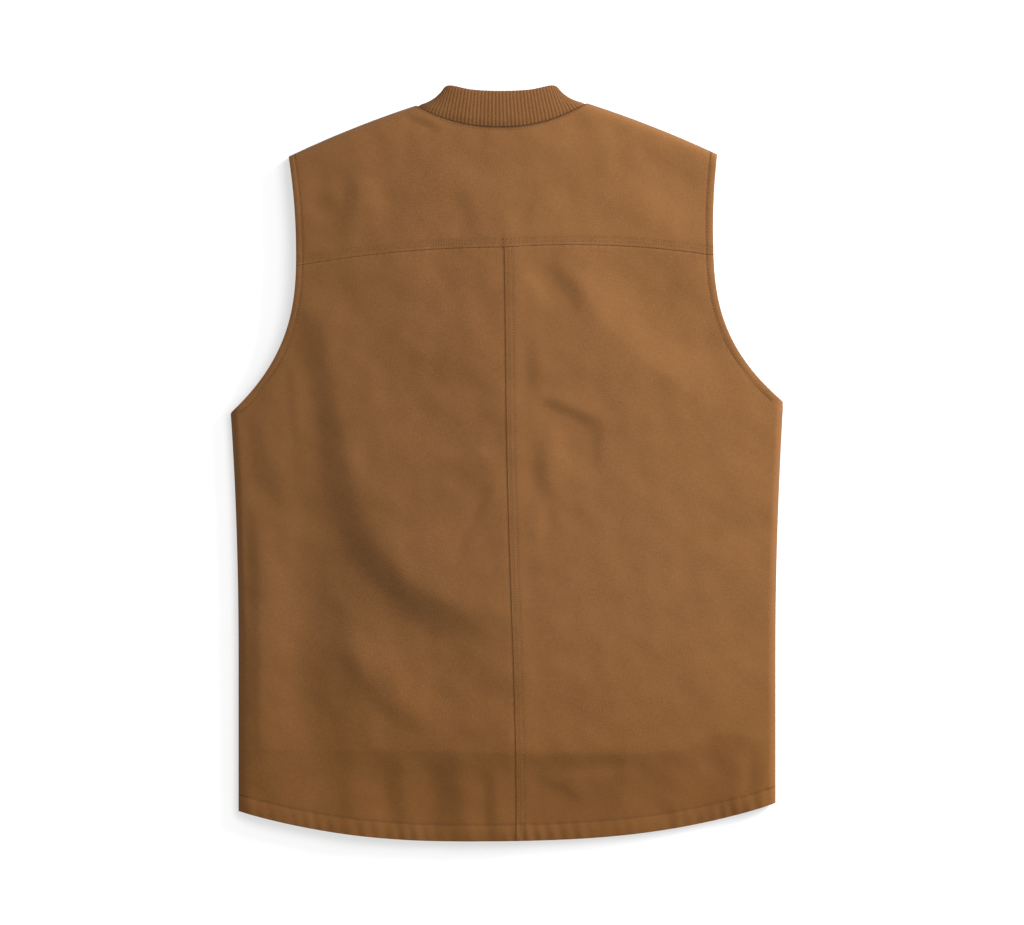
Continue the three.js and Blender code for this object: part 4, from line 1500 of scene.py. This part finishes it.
class VEST_OT_stitches(bpy.types.Operator):
    """Sew the seams and turned edges with rows of thread."""
    bl_idname = "vest.stitches"
    bl_label = "Stitches"

    def execute(self, context):
        sizes = context.scene.vest_sizes
        thread = shared(thread_material, context.scene.vest_colours)
        hem_end = WAIST_HALF - HEM_ROW_END
        zip_start = ZIP_ROW_X + ZIP_ROW_GAP
        front_hems = [hem_row(front_hem, -hem_end, -zip_start), hem_row(front_hem, zip_start, hem_end)]
        back_rows = {
            "yoke_stitches": [yoke_row(inset) for inset in YOKE_STITCHES],
            "centre_stitches": [centre_row(inset) for inset in CENTRE_STITCHES],
            "armhole_stitches": [armhole_row(side, back_edge) for side in SIDES],
            "hem_stitches": [hem_row(back_hem, -hem_end, hem_end)],
            "neck_stitches": [neck_row()],
        }
        front_rows = {
            "front_hem_stitches": front_hems,
            "front_armhole_stitches": [armhole_row(side, front_edge) for side in SIDES],
            "front_zip_stitches": [zip_row(side) for side in SIDES],
        }
        for rows, surface, facing in ((back_rows, back_surface, 1), (front_rows, front_surface, -1)):
            for name, paths in rows.items():
                finish_piece(make_stitches(name, paths, surface, facing, sizes), thread, "canvas")
        return {"FINISHED"}


class VEST_OT_stage(bpy.types.Operator):
    """Set the floor, the lights and the camera."""
    bl_idname = "vest.stage"
    bl_label = "Stage"

    def execute(self, context):
        stage = context.scene.vest_stage
        deselect_all()
        bpy.ops.mesh.primitive_plane_add(size=FLOOR_SIZE, location=(0, 0, FLOOR_Z))
        floor = named(context.object, "studio_floor")
        floor.data.materials.append(floor_material(stage))
        self.add_lamp(KEY_LAMP, stage.key_power)
        self.add_lamp(TOP_LAMP, stage.top_power)
        world = bpy.data.worlds.new("studio")
        world.use_nodes = True
        background = world.node_tree.nodes["Background"]
        background.inputs["Color"].default_value = (1, 1, 1, 1)
        background.inputs["Strength"].default_value = stage.fill_strength
        context.scene.world = world
        context.scene.view_settings.view_transform = "Standard"
        bpy.ops.object.camera_add(location=(*PHOTO_CENTRE, stage.camera_height), rotation=(0, 0, 0))
        camera = context.object
        camera.data.sensor_width = SENSOR
        camera.data.lens = SENSOR * (stage.camera_height - PHOTO_PLANE) / PHOTO_WIDTH
        context.scene.camera = camera
        return {"FINISHED"}

    def add_lamp(self, lamp, power):
        azimuth, elevation = math.radians(lamp.azimuth), math.radians(lamp.elevation)
        flat = lamp.distance * math.cos(elevation)
        place = (flat * math.cos(azimuth), flat * math.sin(azimuth), lamp.distance * math.sin(elevation))
        turn = (0, math.pi / 2 - elevation, azimuth)
        bpy.ops.object.light_add(type="AREA", location=place, rotation=turn)
        light = bpy.context.object.data
        light.shape = "DISK"
        light.size = lamp.size
        light.energy = power


class VEST_PT_sidebar(bpy.types.Panel):
    """Lists the vest's settings and pieces."""
    bl_label = "Canvas work vest"
    bl_idname = "VEST_PT_sidebar"
    bl_space_type = "VIEW_3D"
    bl_region_type = "UI"
    bl_category = "Vest"

    def draw(self, context):
        for group in (context.scene.vest_sizes, context.scene.vest_colours, context.scene.vest_stage):
            box = self.layout.box()
            for label in group.__annotations__:
                box.prop(group, label)
        for operator in OPERATORS:
            self.layout.operator(operator.bl_idname)


OPERATORS = (VEST_OT_back, VEST_OT_front, VEST_OT_collar, VEST_OT_zip, VEST_OT_stitches, VEST_OT_stage)
SETTINGS = (("vest_sizes", VestSizes), ("vest_colours", VestColours), ("vest_stage", VestStage))


def register():
    for label, group in SETTINGS:
        bpy.utils.register_class(group)
        setattr(bpy.types.Scene, label, bpy.props.PointerProperty(type=group))
    for operator in OPERATORS:
        bpy.utils.register_class(operator)
    bpy.utils.register_class(VEST_PT_sidebar)


def unregister():
    bpy.utils.unregister_class(VEST_PT_sidebar)
    for operator in reversed(OPERATORS):
        bpy.utils.unregister_class(operator)
    for label, group in reversed(SETTINGS):
        delattr(bpy.types.Scene, label)
        bpy.utils.unregister_class(group)


def main():
    register()
    bpy.ops.vest.back()
    bpy.ops.vest.front()
    bpy.ops.vest.collar()
    bpy.ops.vest.zip()
    bpy.ops.vest.stitches()
    bpy.ops.vest.stage()


if __name__ == "__main__":
    main()
